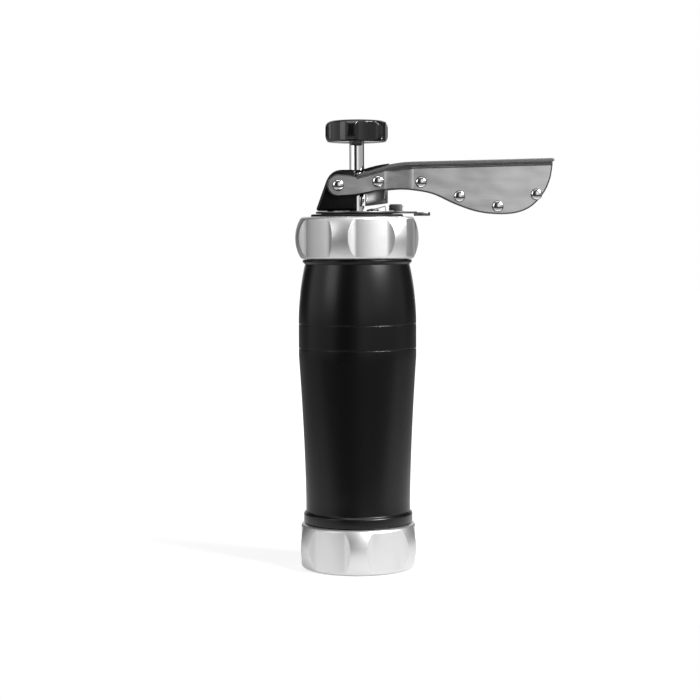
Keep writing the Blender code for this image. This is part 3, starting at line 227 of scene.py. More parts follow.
# Hood; points are x and z
HOOD_FOOT = 172.8
HOOD_BACK = -19.9
HOOD_SHOULDER = ((-14.9, 186.6), (-12.76, 192.5), (-6.9, 192.5))
HOOD_SHOULDER_STEPS = 14
HOOD_TOP = 192.5
HOOD_FRONT = -0.3
HOOD_HALF_WIDTH = 6.8
HOOD_INNER_HALF_WIDTH = 5.4
HOOD_BEND = 1.5
HOOD_BEND_ANGLE = 80
HOOD_WALL = 1.4
HOOD_BACK_END = -14
HOOD_WALL_UNDER_SHOULDER = 0.5
HOOD_INNER_END = [(1.0, 191.1), (1.0, 171.8), (-18.5, 171.8)]
HOOD_TONGUE = [
    (-3.5, 191.0), (1.5, 191.2), (6.2, 192.3), (9.1, 193.1), (12.3, 193.7), (15.4, 194.3),
    (15.6, 195.4), (12.3, 194.95), (9.1, 194.35), (6.2, 193.6), (3.3, 192.75), (1.0, 192.4),
    (-3.5, 192.4),
]
HOOD_TONGUE_HALF_WIDTH = 6.1
HOOD_TONGUE_BEVEL = 0.3
HOOD_TONGUE_ANGLE = 50
HOOD_BASE = [(-18.4, 172.9), (-9.4, 172.9), (-9.4, 174.3), (-17.9, 174.3)]
HOOD_BASE_HALF_WIDTH = 5.6
HOOD_OPENING = [(-0.31, 170), (3, 170), (3, 195), (-0.31, 195)]
HOOD_OPENING_HALF_WIDTH = 8
HOOD_HOLE_STEPS = 64
HOOD_HOLE_RADIUS = 3.95
HOOD_HOLE_DEPTH = 20
HOOD_HOLE_MIDDLE = 192

# Head plate, and the pocket for the holding pawl
HEAD_PROFILE = [
    (4.2, 172.5, 0.2), (17.2, 172.5, 0.2), (17.2, 171.2), (22.3, 171.2, 0.8), (22.3, 167.3),
    (25.0, 167.3, 0.2), (25.0, 164.7, 0.2), (22.3, 164.7), (22.3, 162.7, 0.3), (20.3, 162.7, 0.3),
    (20.3, 164.7), (5.9, 164.7), (5.9, 168.2), (4.2, 168.2),
]
HEAD_POCKET = [(0.6, -7.0), (15.3, -7.0), (15.3, 7.0), (0.6, 7.0)]
HEAD_POCKET_HEIGHTS = (169.9, 173.5)

# Push pawl; its foot is cut off at a slant and its sides have a pressed panel
PAWL_FOOT_CUT = [(3, 174), (16, 174), (16, 176.6), (3, 174.9)]
PAWL_FOOT_HALF_WIDTH = 8
PAWL_PANEL = [(4.7, 177.2), (13.2, 178.5), (13.2, 184.5), (4.7, 184.5)]
PAWL_PANEL_SIDES = ((-7.5, -6.35), (6.35, 7.5))
PAWL_BEVEL = 0.25

# Solids that only get rounded edges: width of the rounding, and angle past which an edge is sharp
ROUNDINGS = {
    "rod_guide_bush": (0.2, 40),
    "hood_screw_near": (0.15, 50),
    "hood_screw_far": (0.15, 50),
    "selector_keeper_near": (0.1, 50),
    "selector_keeper_far": (0.1, 50),
    "holding_pawl": (0.08, 60),
    "holding_pawl_rivet": (0.1, 50),
    "dose_selector": (0.12, 50),
    "piston": (0.15, 50),
    "piston_nut": (0.2, 50),
    "pattern_disc": (0.0, 30),
}

# Studio: grey of its walls by bearing, 0 behind the camera, 90 to the right, 180 behind the press
STUDIO_WALLS = {
    -180: 0.9, -160: 0.9, -154: 0.05, -116: 0.05, -108: 0.85, -80: 0.75, -46: 0.55, -40: 0.02,
    -14: 0.02, -6: 0.14, 1.1: 0.2, 1.8: 0.62, 4.5: 0.78, 6.5: 0.93, 9: 0.95, 32: 0.5, 44: 0.42,
    62: 0.38, 72: 0.38, 104: 0.4, 112: 0.05, 154: 0.05, 160: 0.9, 180: 0.9,
}

# Room, by the height of a direction, which is 1 straight up
CEILING = (0.4, 0.65)
CELLAR = (-0.03, -0.12)
CELLAR_FLOOR = (-0.25, -0.5)
HORIZON = (0.0, 0.05)
STRENGTH_AT_HORIZON = (0.85, 1.15)
DARK_GREY = 0.06
CELLAR_FLOOR_GREY = 0.7

# Floor, and the distances over which it gets whiter to the camera and dimmer in reflections
FLOOR_SIZE = 4000
FLOOR_PLACE = (0, 1870, -0.2)
FLOOR_GREY = 0.36
FLOOR_WHITENS = (100, 700)
FLOOR_DIMS = (160, 400)

# Lamps: sides of the rectangle and watts
LAMPS = {
    "key_lamp": {"place": (490, -350, 600), "size": (330, 280), "power": 14.6},
    "fill_lamp": {"place": (-560, -380, 460), "size": (300, 500), "power": 1.1},
    "top_lamp": {"place": (0, -60, 760), "size": (500, 500), "power": 1.9},
}
LAMP_AIM = (0, 0, 120)

# Camera
CAMERA_PLACE = (-3.6, -865.4, 163.3)
CAMERA_TILT = 2.7
CAMERA_ROLL = -0.25
CAMERA_LENS = 92.0
CAMERA_SENSOR = 36
CAMERA_SHIFT = -0.05
CAMERA_CLIP = 10


def grey(level):
    return (level, level, level, 1)


def metres(lengths):
    return [length * MM for length in lengths]


class Socket:
    """A node's output in a finish; arithmetic on it adds Math nodes."""

    def __init__(self, finish, socket):
        self.finish = finish
        self.socket = socket

    def maths(self, operation, first, second):
        return self.finish.node(
            "ShaderNodeMath", {"operation": operation}, {0: first, 1: second})

    def __add__(self, other):
        return self.maths("ADD", self, other)

    def __radd__(self, other):
        return self.maths("ADD", other, self)

    def __sub__(self, other):
        return self.maths("SUBTRACT", self, other)

    def __rsub__(self, other):
        return self.maths("SUBTRACT", other, self)

    def __mul__(self, other):
        return self.maths("MULTIPLY", self, other)

    def __rmul__(self, other):
        return self.maths("MULTIPLY", other, self)


class Finish:
    """A finish made of nodes, in a material's or the world's tree."""

    def __init__(self, tree, result):
        self.tree = tree
        self.tree.nodes.clear()
        self.result = self.tree.nodes.new(result)

    def node(self, kind, settings=None, values=None, output=0):
        """A node with its settings, then the values or links of its inputs; gives one output."""
        made = self.tree.nodes.new(kind)
        for name, value in (settings or {}).items():
            if name == "stops":
                ramp = made.color_ramp
                while len(ramp.elements) < len(value):
                    ramp.elements.new(0.5)
                for stop, (place, level) in zip(ramp.elements, value):
                    stop.position = place
                    stop.color = grey(level)
            else:
                setattr(made, name, value)
        for name, value in (values or {}).items():
            self.feed(made.inputs[name], value)
        return Socket(self, made.outputs[output])

    def feed(self, target, value):
        if isinstance(value, Socket):
            self.tree.links.new(value.socket, target)
        else:
            target.default_value = value

    def noise(self, scale, detail, stretch=(1, 1, 1)):
        place = self.node("ShaderNodeTexCoord", output="Object")
        stretched = self.node("ShaderNodeMapping", None, {"Vector": place, "Scale": stretch})
        return self.node(
            "ShaderNodeTexNoise", None, {"Vector": stretched, "Scale": scale, "Detail": detail})

    def mix(self, mask, first, second):
        """The first colour where the mask is 0, the second where it is 1."""
        return self.node(
            "ShaderNodeMix", {"data_type": "RGBA"}, {0: mask, 6: first, 7: second}, output=2)

    def greys(self, mask, dark, light):
        return self.mix(mask, grey(dark), grey(light))

    def ranged(self, value, span, low=0.0, high=1.0, kind="LINEAR"):
        """The value taken from the span's ends to low and high, and held beyond them."""
        start, end = span
        return self.node(
            "ShaderNodeMapRange", {"interpolation_type": kind},
            {"Value": value, "From Min": start, "From Max": end, "To Min": low, "To Max": high},
        )

    def relief(self, height, depth, edge):
        """Fine relief over the surface, and edges that catch the light as if rounded."""
        rounded = self.node("ShaderNodeBevel", {"samples": 6}, {"Radius": edge * MM})
        values = {"Height": height, "Strength": 1.0, "Distance": depth * MM, "Normal": rounded}
        return self.node("ShaderNodeBump", None, values)

    def surface(self, **values):
        """The tree's surface, a Principled shader; underscores stand for spaces."""
        named = {name.replace("_", " "): value for name, value in values.items()}
        shader = self.node("ShaderNodeBsdfPrincipled", None, named)
        self.feed(self.result.inputs["Surface"], shader)


def new_material(name):
    material = bpy.data.materials.new(name)
    material.use_nodes = True
    return material, Finish(material.node_tree, "ShaderNodeOutputMaterial")


def satin_aluminium():
    """Turned and finely blasted, for the ring nuts, the piston and the pattern disc."""
    material, finish = new_material("satin_aluminium")
    grain = finish.noise(5200, 3)
    turned = finish.noise(60, 2, (1, 1, 55))
    cloud = finish.noise(45, 3)
    finish.surface(
        Base_Color=finish.greys(cloud, 0.60, 0.67),
        Metallic=1.0,
        Roughness=0.36 + 0.08 * turned + 0.04 * cloud,
        Normal=finish.relief(grain + 0.5 * turned, 0.006, 0.35),
    )
    return material


def black_anodised():
    """The barrel's finish."""
    material, finish = new_material("black_anodised")
    grain = finish.noise(4200, 3)
    cloud = finish.noise(30, 3)
    finish.surface(
        Base_Color=finish.greys(cloud, 0.001, 0.0018),
        Roughness=0.26 + 0.04 * cloud,
        Specular_IOR_Level=0.33,
        Normal=finish.relief(grain, 0.004, 0.25),
    )
    return material


def black_enamel():
    """The hood's finish."""
    material, finish = new_material("black_enamel")
    peel = finish.noise(900, 2)
    cloud = finish.noise(60, 2)
    finish.surface(
        Base_Color=finish.greys(cloud, 0.002, 0.0035),
        Roughness=0.22 + 0.06 * cloud,
        Specular_IOR_Level=0.2,
        Normal=finish.relief(peel, 0.004, 0.3),
    )
    return material


def rough_black():
    """The head plate's finish."""
    material, finish = new_material("rough_black")
    grain = finish.noise(2400, 3)
    cloud = finish.noise(80, 2)
    finish.surface(
        Base_Color=finish.greys(cloud, 0.004, 0.008),
        Roughness=0.5 + 0.08 * cloud,
        Specular_IOR_Level=0.12,
        Normal=finish.relief(grain, 0.006, 0.3),
    )
    return material


def blackened_steel():
    """For the dose selector and its keepers."""
    material, finish = new_material("blackened_steel")
    grain = finish.noise(1500, 3)
    cloud = finish.noise(160, 3)
    finish.surface(
        Base_Color=finish.greys(cloud, 0.10, 0.17),
        Metallic=1.0,
        Roughness=0.3 + 0.15 * cloud,
        Normal=finish.relief(grain, 0.01, 0.25),
    )
    return material


def gloss_plastic():
    """The knob's finish."""
    material, finish = new_material("gloss_black_plastic")
    peel = finish.noise(400, 2)
    marks = finish.noise(220, 4)
    finish.surface(
        Base_Color=finish.greys(marks, 0.003, 0.005),
        Roughness=0.08 + 0.06 * marks,
        Specular_IOR_Level=0.5,
        Normal=finish.relief(peel, 0.006, 0.5),
    )
    return material


def chrome_sheet():
    """Drawn sheet, plated, with patches of painted shade where the lever is set over."""
    material, finish = new_material("chrome_sheet")
    drawn = finish.noise(120, 3, (1, 6, 9))
    waves = finish.noise(55, 1, (1, 1, 1.6))
    grain = finish.noise(3000, 2)
    # Painted shade: the base colour darkened in patches round the joggle's bend
    shade_breakup = finish.noise(90, 2, (1, 1, 1.6))
    place = finish.node("ShaderNodeTexCoord", output="Object")
    along = finish.node("ShaderNodeSeparateXYZ", None, {0: place}, output="X")
    from_bend = finish.node(
        "ShaderNodeMath", {"operation": "ABSOLUTE"}, {0: along - MIDDLE_OF_BEND * MM})
    joggle_shade = finish.ranged(from_bend, metres(JOGGLE_SHADE_REACH), 1.0, 0.0, "SMOOTHSTEP")
    finish.surface(
        Base_Color=finish.greys(0.78 + 0.22 * drawn - 0.95 * joggle_shade * shade_breakup, 0.28, 0.66),
        Metallic=1.0,
        Roughness=0.15 + 0.07 * drawn,
        Normal=finish.relief(waves + 0.03 * drawn + 0.002 * grain, 0.3, 0.3),
    )
    return material


def sheared_edge():
    """The cut edges of the flange, duller and darker than its faces."""
    material, finish = new_material("sheared_edge")
    grain = finish.noise(1400, 3, (1, 3, 3))
    finish.surface(
        Base_Color=finish.greys(grain, 0.16, 0.26),
        Metallic=1.0,
        Roughness=0.3 + 0.15 * grain,
        Normal=finish.relief(grain, 0.01, 0.2),
    )
    return material


def painted_shade_chrome():
    """Painted shade: a dark chrome laid inside the bend, along the web's cut edge and round the
    rivets' feet.
    """
    material, finish = new_material("painted_shade_chrome")
    cloud = finish.noise(300, 3)
    finish.surface(
        Base_Color=finish.greys(cloud, 0.05, 0.12),
        Metallic=1.0,
        Roughness=0.28 + 0.2 * cloud,
        Normal=finish.relief(cloud, 0.01, 0.2),
    )
    return material


def polished_chrome():
    """For the rod, the rivets, the holding pawl and the spring."""
    material, finish = new_material("polished_chrome")
    marks = finish.noise(260, 4)
    finish.surface(
        Base_Color=finish.greys(marks, 0.80, 0.86),
        Metallic=1.0,
        Roughness=0.03 + 0.05 * marks,
        Normal=finish.relief(marks, 0.002, 0.2),
    )
    return material


def zinc_steel():
    """For screws, the piston's nut and the holding pawl's rivet."""
    material, finish = new_material("zinc_steel")
    grain = finish.noise(1800, 3)
    cloud = finish.noise(140, 3)
    finish.surface(
        Base_Color=finish.greys(cloud, 0.42, 0.52),
        Metallic=1.0,
        Roughness=0.24 + 0.12 * cloud,
        Normal=finish.relief(grain, 0.008, 0.2),
    )
    return material


def dark_nylon():
    """The guide bush's material."""
    material, finish = new_material("dark_nylon")
    grain = finish.noise(2600, 3)
    finish.surface(
        Base_Color=finish.greys(grain, 0.012, 0.02),
        Roughness=0.5 + 0.1 * grain,
        Normal=finish.relief(grain, 0.01, 0.2),
    )
    return material


def deselect():
    bpy.ops.object.select_all(action="DESELECT")


def choose(piece):
    deselect()
    piece.select_set(True)
    bpy.context.view_layer.objects.active = piece


def place_into_mesh():
    bpy.ops.object.transform_apply(location=True, rotation=True, scale=True)


def edit_all():
    """Edit mode with the whole mesh selected."""
    bpy.ops.object.mode_set(mode="EDIT")
    bpy.ops.mesh.select_all(action="SELECT")


def end_edit():
    bpy.ops.object.mode_set(mode="OBJECT")


def finished(name, material, sharp=SHARP):
    """The active piece with its place in its mesh, its name, its material and smooth shading."""
    piece = bpy.context.object
    place_into_mesh()
    piece.name = piece.data.name = name
    piece.data.materials.clear()
    piece.data.materials.append(material)
    bpy.ops.object.shade_smooth_by_angle(angle=math.radians(sharp))
    return piece


def stands_for(piece, node, body):
    """The piece is shown in place of a CAD node and moves with the body."""
    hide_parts(node)
    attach(piece, body)


def with_fillets(points):
    """A profile in which each point with a third number is rounded by that radius."""
    count = len(points)
    profile = []
    for i, point in enumerate(points):
        corner = Vector(point[:2])
        if len(point) == 2:
            profile.append(tuple(corner))
            continue
        radius = point[2]
        into = (Vector(points[i - 1][:2]) - corner).normalized()
        onward = (Vector(points[(i + 1) % count][:2]) - corner).normalized()
        half = into.angle(onward) / 2
        reach = radius / math.tan(half)
        centre = corner + (into + onward).normalized() * radius / math.sin(half)
        start, end = corner + into * reach - centre, corner + onward * reach - centre
        sweep = start.angle_signed(end)
        for step in range(FILLET_STEPS + 1):
            turn = -sweep * step / FILLET_STEPS
            x = start.x * math.cos(turn) - start.y * math.sin(turn)
            y = start.x * math.sin(turn) + start.y * math.cos(turn)
            profile.append((centre.x + x, centre.y + y))
    return profile


def spun(points, steps=SPIN_STEPS, closed=True):
    """A profile, drawn point by point and spun about Z."""
    profile = with_fillets(points)
    if closed:
        profile.append(profile[0])
    deselect()
    radius, height = profile[0]
    bpy.ops.mesh.primitive_plane_add(size=MM, location=(radius * MM, 0, height * MM))
    bpy.ops.object.mode_set(mode="EDIT")
    bpy.ops.mesh.merge(type="CENTER")
    for (r0, z0), (r1, z1) in zip(profile, profile[1:]):
        move = ((r1 - r0) * MM, 0, (z1 - z0) * MM)
        bpy.ops.mesh.extrude_region_move(TRANSFORM_OT_translate={"value": move})
    bpy.ops.mesh.select_all(action="SELECT")
    bpy.ops.mesh.spin(steps=steps, angle=2 * math.pi, center=(0, 0, 0), axis=(0, 0, 1))
    bpy.ops.mesh.select_all(action="SELECT")
    bpy.ops.mesh.remove_doubles(threshold=MERGE)
    bpy.ops.mesh.normals_make_consistent(inside=False)
    end_edit()
    return bpy.context.object


def plate(outline, low, high, along):
    """A flat outline, extruded along Z or Y."""
    deselect()
    bpy.ops.mesh.primitive_circle_add(vertices=len(outline), radius=MM, fill_type="NGON")
    piece = bpy.context.object
    for vertex, (a, b) in zip(piece.data.vertices, outline):
        vertex.co = Vector((a, b, low) if along == "Z" else (a, low, b)) * MM
    depth = (high - low) * MM
    edit_all()
    move = (0, 0, depth) if along == "Z" else (0, depth, 0)
    bpy.ops.mesh.extrude_region_move(TRANSFORM_OT_translate={"value": move})
    bpy.ops.mesh.select_all(action="SELECT")
    bpy.ops.mesh.normals_make_consistent(inside=False)
    end_edit()
    return piece


def joined(pieces):
    choose(pieces[0])
    for piece in pieces:
        piece.select_set(True)
    bpy.ops.object.join()
    return bpy.context.object


def cut(piece, cutter, operation="DIFFERENCE"):
    """The piece less the cutter, or the two as one; the cutter is used up."""
    choose(piece)
    bpy.ops.object.modifier_add(type="BOOLEAN")
    step = piece.modifiers[-1]
    step.solver = "EXACT"
    step.operation = operation
    step.object = cutter
    bpy.ops.object.modifier_apply(modifier=step.name)
    bpy.data.objects.remove(cutter, do_unlink=True)
    return piece


def rounded_edges(piece, width, segments=3, angle=ROUNDED_PAST, material_slot=-1, clamp=True):
    """Edges sharper than the angle rounded; a material slot may be given to the new faces."""
    choose(piece)
    bpy.ops.object.modifier_add(type="BEVEL")
    step = piece.modifiers[-1]
    step.width = width * MM
    step.segments = segments
    step.limit_method = "ANGLE"
    step.angle_limit = math.radians(angle)
    step.use_clamp_overlap = clamp
    step.material = material_slot
    bpy.ops.object.modifier_apply(modifier=step.name)
    return piece


def polar(radius, angle):
    """A point on a circle round the axis, at an angle in degrees."""
    return radius * math.cos(math.radians(angle)), radius * math.sin(math.radians(angle))


def arc_points(radius, start, end, steps):
    """Points on a circle round the axis, between two angles."""
    return [polar(radius, start + (end - start) * i / steps) for i in range(steps + 1)]


def quarter_turn():
    """Angles from none to a quarter turn in even steps, in radians."""
    return [math.pi / 2 * i / QUARTER_STEPS for i in range(QUARTER_STEPS + 1)]


def thread_profile(low, high):
    """Thread-like ribs between two heights, from the low end to the high one."""
    count = int((high - low) / THREAD_PITCH)
    pitch = (high - low) / count
    profile = []
    for i in range(count):
        z = low + pitch * i
        profile += [(THREAD_RADIUS, z + share * pitch) for share in THREAD_CREST]
        profile += [(THREAD_ROOT_RADIUS, z + share * pitch) for share in THREAD_ROOT]
    return profile


def make_barrel(material):
    """Ribbed ends, two collars, the swell between them and two fine lines, in one profile."""
    profile = [(THREAD_ROOT_RADIUS, BARREL_BOTTOM, RIM_FILLET)]
    profile += thread_profile(BARREL_BOTTOM + THREAD_TO_END, COLLAR_BOTTOM - THREAD_TO_COLLAR)
    profile += LOWER_COLLAR
    swell = BELLY_RADIUS - NECK_RADIUS
    for i in range(1, SWELL_STEPS + 1):
        share = i / SWELL_STEPS
        height = SWELL_BOTTOM + (BELLY_BOTTOM - SWELL_BOTTOM) * share
        profile.append((NECK_RADIUS + swell * share ** SWELL_POWER, height))
    floor, half = BELLY_RADIUS - BAND_LINE_DEPTH, BAND_LINE_HALF_WIDTH
    for z in BAND_LINES:
        profile += [
            (BELLY_RADIUS, z - half), (floor, z - half / 3),
            (floor, z + half / 3), (BELLY_RADIUS, z + half),
        ]
    for i in range(TAPER_STEPS + 1):
        share = i / TAPER_STEPS
        height = BELLY_TOP + (NECK_TOP - BELLY_TOP) * share
        profile.append((BELLY_RADIUS - swell * share ** TAPER_POWER, height))
    profile += UPPER_COLLAR
    profile += thread_profile(UPPER_COLLAR_TOP + THREAD_TO_COLLAR, BARREL_TOP - THREAD_TO_END)
    profile += [
        (THREAD_ROOT_RADIUS, BARREL_TOP, RIM_FILLET), (BORE_RADIUS, BARREL_TOP, RIM_FILLET),
        (BORE_RADIUS, BARREL_BOTTOM, RIM_FILLET),
    ]
    spun(profile)
    stands_for(finished("barrel_shell", material), "barrel", "barrel")


def ring_side(bottom, height):
    """A ring nut's bulging side with its two ends, from the bottom to the top."""
    half = height / 2
    arc = (half ** 2 + RING_BULGE ** 2) / (2 * RING_BULGE)
    side = [(RING_EDGE_RADIUS - inset, bottom + rise) for inset, rise in RING_END]
    for i in range(RING_SIDE_STEPS + 1):
        z = RING_EDGE_HEIGHT + (height - 2 * RING_EDGE_HEIGHT) * i / RING_SIDE_STEPS
        radius = RING_EDGE_RADIUS + math.sqrt(arc ** 2 - (z - half) ** 2) - (arc - RING_BULGE)
        side.append((radius, bottom + z))
    top = bottom + height
    return side + [(RING_EDGE_RADIUS - inset, top - fall) for inset, fall in reversed(RING_END)]


def flute_cutter(floor_radius, rim_radius, floor_angle, wall_angle, turn, low, high):
    """Six upright cutters with a round floor and hollow side walls that flare outwards."""
    def wall(middle, side):
        points = []
        for step in range(1, FLUTE_WALL_STEPS + 1):
            share = step / FLUTE_WALL_STEPS
            radius = floor_radius + (rim_radius - floor_radius) * share ** FLUTE_WALL_POWER
            points.append(polar(radius, middle + side * floor_angle + side * wall_angle * share))
        return points

    cutters = []
    beyond = wall_angle * FLUTE_OUTSIDE
    for i in range(FLUTES):
        middle = turn + 360 / FLUTES * i
        start, end = middle - floor_angle, middle + floor_angle
        outline = arc_points(floor_radius, start, end, FLUTE_FLOOR_STEPS) + wall(middle, 1)
        outline += arc_points(
            rim_radius + FLUTE_OUTSIDE, end + beyond, start - beyond, FLUTE_WALL_STEPS)
        outline += reversed(wall(middle, -1))
        cutters.append(plate(outline, low, high, "Z"))
    return joined(cutters)


def make_ring_nuts(material):
    """Bulging rings with a lip at one end, cut with flutes."""
    for name, ring in RINGS.items():
        bottom, top = ring["bottom"], ring["bottom"] + ring["height"]
        radius, lip = ring["lip_radius"], ring["lip_height"]
        if ring["lip_end"] == "bottom":
            bore = [
                (RING_BORE_RADIUS, top, RING_BORE_FILLET), (RING_BORE_RADIUS, bottom + lip),
                (radius, bottom + lip), (radius, bottom, RING_LIP_FILLET),
            ]
        else:
            bore = [
                (radius, top, RING_LIP_FILLET), (radius, top - lip),
                (RING_BORE_RADIUS, top - lip), (RING_BORE_RADIUS, bottom, RING_BORE_FILLET),
            ]
        nut = spun(ring_side(bottom, ring["height"]) + bore, NUT_SPIN_STEPS)
        cutter = flute_cutter(
            **RING_FLUTES, turn=ring["turn"], low=bottom - CUTTER_MARGIN, high=top + CUTTER_MARGIN)
        choose(cut(nut, cutter))
        piece = finished(name + "_fluted", material, NUT_SHARP)
        stands_for(piece, name, ring["body"])


def make_knob(material):
    """A flaring foot, a rounded rim and a flat crown over a socket, cut with flutes."""
    side = [(KNOB_FOOT_RADIUS, KNOB_BOTTOM, KNOB_FOOT_FILLET)]
    for turn in quarter_turn()[1:]:
        height = KNOB_FLARE_HEIGHT * (1 - math.cos(turn))
        side.append((KNOB_FOOT_RADIUS + KNOB_FLARE * math.sin(turn), KNOB_BOTTOM + height))
    rim = KNOB_FOOT_RADIUS + KNOB_FLARE
    for turn in quarter_turn():
        height = KNOB_BOTTOM + KNOB_RIM_TOP + KNOB_ROUNDING * math.sin(turn)
        side.append((rim - KNOB_ROUNDING * (1 - math.cos(turn)), height))
    side += [(radius, KNOB_BOTTOM + height) for radius, height in KNOB_CROWN]
    socket = [(radius, KNOB_BOTTOM + height) for radius, height in KNOB_SOCKET]
    socket.append((KNOB_SOCKET[-1][0], KNOB_BOTTOM, KNOB_SOCKET_FILLET))
    knob = spun(socket + side, KNOB_SPIN_STEPS, closed=False)
    low, high = KNOB_BOTTOM - CUTTER_MARGIN, KNOB_BOTTOM + KNOB_HEIGHT + CUTTER_MARGIN
    choose(cut(knob, flute_cutter(**KNOB_FLUTES, turn=KNOB_TURN, low=low, high=high)))
    stands_for(finished("knob_grip", material, KNOB_SHARP), "knob", "rod")


def make_rod(material):
    """A round rod with teeth on the side that faces the pawls."""
    rod = spun(ROD_PROFILE, ROD_SPIN_STEPS, closed=False)
    notches = []
    for i in range(TEETH):
        z = RACK_TOP - TOOTH_PITCH * (i + 1)
        notch = [(NOTCH_INSIDE, z), (NOTCH_OUTSIDE, z), (NOTCH_OUTSIDE, z + NOTCH_HEIGHT)]
        notches.append(plate(notch, -ROD_RADIUS, ROD_RADIUS, "Y"))
    choose(cut(rod, joined(notches)))
    stands_for(finished("toothed_rod", material, ROD_SHARP), "rack_rod", "rod")


def make_rivets(material, foot):
    """Shanks with two domed heads, spun about Z and laid across; the heads' feet are painted dark
    as shade.
    """
    for name, (x, z, shank, seat) in RIVETS.items():
        head = [(shank, seat), (RIVET_HEAD_RADIUS, seat)]
        for turn in quarter_turn()[:-1]:
            height = seat + RIVET_RIM + RIVET_DOME * math.sin(turn)
            head.append((RIVET_HEAD_RADIUS * math.cos(turn), height))
        head.append((0, seat + RIVET_RIM + RIVET_DOME))
        other = [(radius, -height) for radius, height in reversed(head)]
        piece = spun(other + head, RIVET_SPIN_STEPS, closed=False)
        place_into_mesh()
        piece.rotation_euler = (math.pi / 2, 0, 0)
        piece.location = (x * MM, 0, z * MM)
        body = "head" if name == "pivot_rivet" else "lever"
        stands_for(finished(name + "_domed", material), name, body)
        # Faces at the heads' feet take the second finish, painted shade
        piece.data.materials.append(foot)
        for face in piece.data.polygons:
            from_axis = math.hypot(face.center.x - x * MM, face.center.z - z * MM)
            if from_axis > RIVET_FOOT_RADIUS * MM:
                face.material_index = 1


def on_line(points, x):
    """Height at x of a smooth line through the points."""
    count = len(points)
    for i in range(count - 1):
        if x <= points[i + 1][0] or i == count - 2:
            start, end = points[i], points[i + 1]
            before, beyond = points[max(i - 1, 0)], points[min(i + 2, count - 1)]
            width = end[0] - start[0]
            t = min(max((x - start[0]) / width, 0), 1)
            into = (end[1] - before[1]) / (end[0] - before[0]) * width
            onward = (beyond[1] - start[1]) / (beyond[0] - start[0]) * width
            return (
                (2 * t ** 3 - 3 * t ** 2 + 1) * start[1] + (t ** 3 - 2 * t ** 2 + t) * into
                + (3 * t ** 2 - 2 * t ** 3) * end[1] + (t ** 3 - t ** 2) * onward
            )


def joggle(x):
    """Inner face of the lever's sheet: wide at the fork, in the middle along the handle."""
    start, end = JOGGLE
    share = min(max((x - start) / (end - start), 0), 1)
    bend = JOGGLE_BEND
    if share < bend:
        ramp = share * share / (2 * bend * (1 - bend))
    elif share > 1 - bend:
        ramp = 1 - (1 - share) ** 2 / (2 * bend * (1 - bend))
    else:
        ramp = (share - bend / 2) / (1 - bend)
    return WEB_INNER + (EAR_INNER - WEB_INNER) * (1 - ramp)


def web_outline():
    """The lever seen from the side: ear, lower edge, round end and the line of the bend."""
    outline = [
        (PIVOT[0] + x, PIVOT[1] + z) for x, z in (polar(EAR_RADIUS, turn) for turn in EAR_TURNS)]
    start = (PIVOT[0], PIVOT[1] - EAR_RADIUS)
    lower = [start] + LOWER_EDGE
    last, end = LOWER_EDGE[-2:]
    x = start[0] + LOWER_EDGE_STEP
    while x < last[0] - LOWER_EDGE_GAP:
        outline.append((x, on_line(lower, x)))
        x += LOWER_EDGE_STEP
    outline += [last, TIP, end, (end[0], TOP_LINE[-1][1] - WEB_BELOW_TOP)]
    x = end[0] - TOP_LINE_STEP
    while x > TOP_LINE[0][0] + TOP_LINE_GAP:
        outline.append((x, on_line(TOP_LINE, x) - WEB_BELOW_TOP))
        x -= TOP_LINE_STEP
    return outline + EAR_TOP


def bent_web(side, finishes):
    """The lever's side, cut flat with its edge rounded, then set over between fork and handle."""
    piece = plate(web_outline(), 0, LEVER_SHEET, "Y")
    for finish in finishes:
        piece.data.materials.append(finish)
    # The rounded edge takes the second finish, painted shade
    rounded_edges(piece, WEB_BEVEL, angle=LEVER_EDGE_ANGLE, material_slot=1)
    start, end = JOGGLE
    bpy.ops.object.mode_set(mode="EDIT")
    for i in range(JOGGLE_CUTS + 1):
        bpy.ops.mesh.select_all(action="SELECT")
        place = (start + (end - start) * i / JOGGLE_CUTS) * MM
        bpy.ops.mesh.bisect(plane_co=(place, 0, 0), plane_no=(1, 0, 0))
    end_edit()
    for vertex in piece.data.vertices:
        vertex.co.y = side * (vertex.co.y + joggle(vertex.co.x / MM) * MM)
    edit_all()
    bpy.ops.mesh.normals_make_consistent(inside=False)
    end_edit()
    return piece


def flange_place(along, up):
    """A point of the flange's inner face: hidden root, bend of a quarter turn, then flat."""
    start, end = TOP_LINE[0][0], TOP_LINE[-1][0]
    x = start + (end - start) * along
    top = on_line(TOP_LINE, x)
    inner = joggle(x)
    room = FLANGE_HALF_WIDTH - inner - LEVER_SHEET
    radius = min(FLANGE_RADIUS, LEVER_SHEET + room * FLANGE_RADIUS_SHARE)
    bend_start, bend_end = FLANGE_BEND
    if up < bend_start / 2:
        sideways, down = FLANGE_ROOT
        return x, inner - sideways, top - radius - down
    if up < bend_end:
        turn = math.pi / 2 * (up - bend_start) / (bend_end - bend_start)
        across = inner - FLANGE_SUNK + radius * (1 - math.cos(turn))
        return x, across, top - radius + radius * math.sin(turn)
    flat = inner + radius
    share = (up - bend_end) / (1 - bend_end)
    return x, flat + (FLANGE_HALF_WIDTH - flat) * share, top


def bent_flange(side, finishes):
    """A grid laid along the flange's inner face, then given the sheet's thickness."""
    deselect()
    columns, rows = FLANGE_GRID
    bpy.ops.mesh.primitive_grid_add(x_subdivisions=columns, y_subdivisions=rows, size=1)
    piece = bpy.context.object
    for finish in finishes:
        piece.data.materials.append(finish)
    for vertex in piece.data.vertices:
        x, y, z = flange_place(vertex.co.x + 0.5, vertex.co.y + 0.5)
        vertex.co = (x * MM, side * y * MM, z * MM)
    if side > 0:
        edit_all()
        bpy.ops.mesh.flip_normals()
        end_edit()
    bpy.ops.object.modifier_add(type="SOLIDIFY")
    step = piece.modifiers[-1]
    step.thickness = LEVER_SHEET * MM
    step.offset = 1
    step.use_even_offset = True
    step.material_offset_rim = 1
    bpy.ops.object.modifier_apply(modifier=step.name)
    return rounded_edges(
        piece, FLANGE_BEVEL, angle=LEVER_EDGE_ANGLE, material_slot=1, clamp=False)


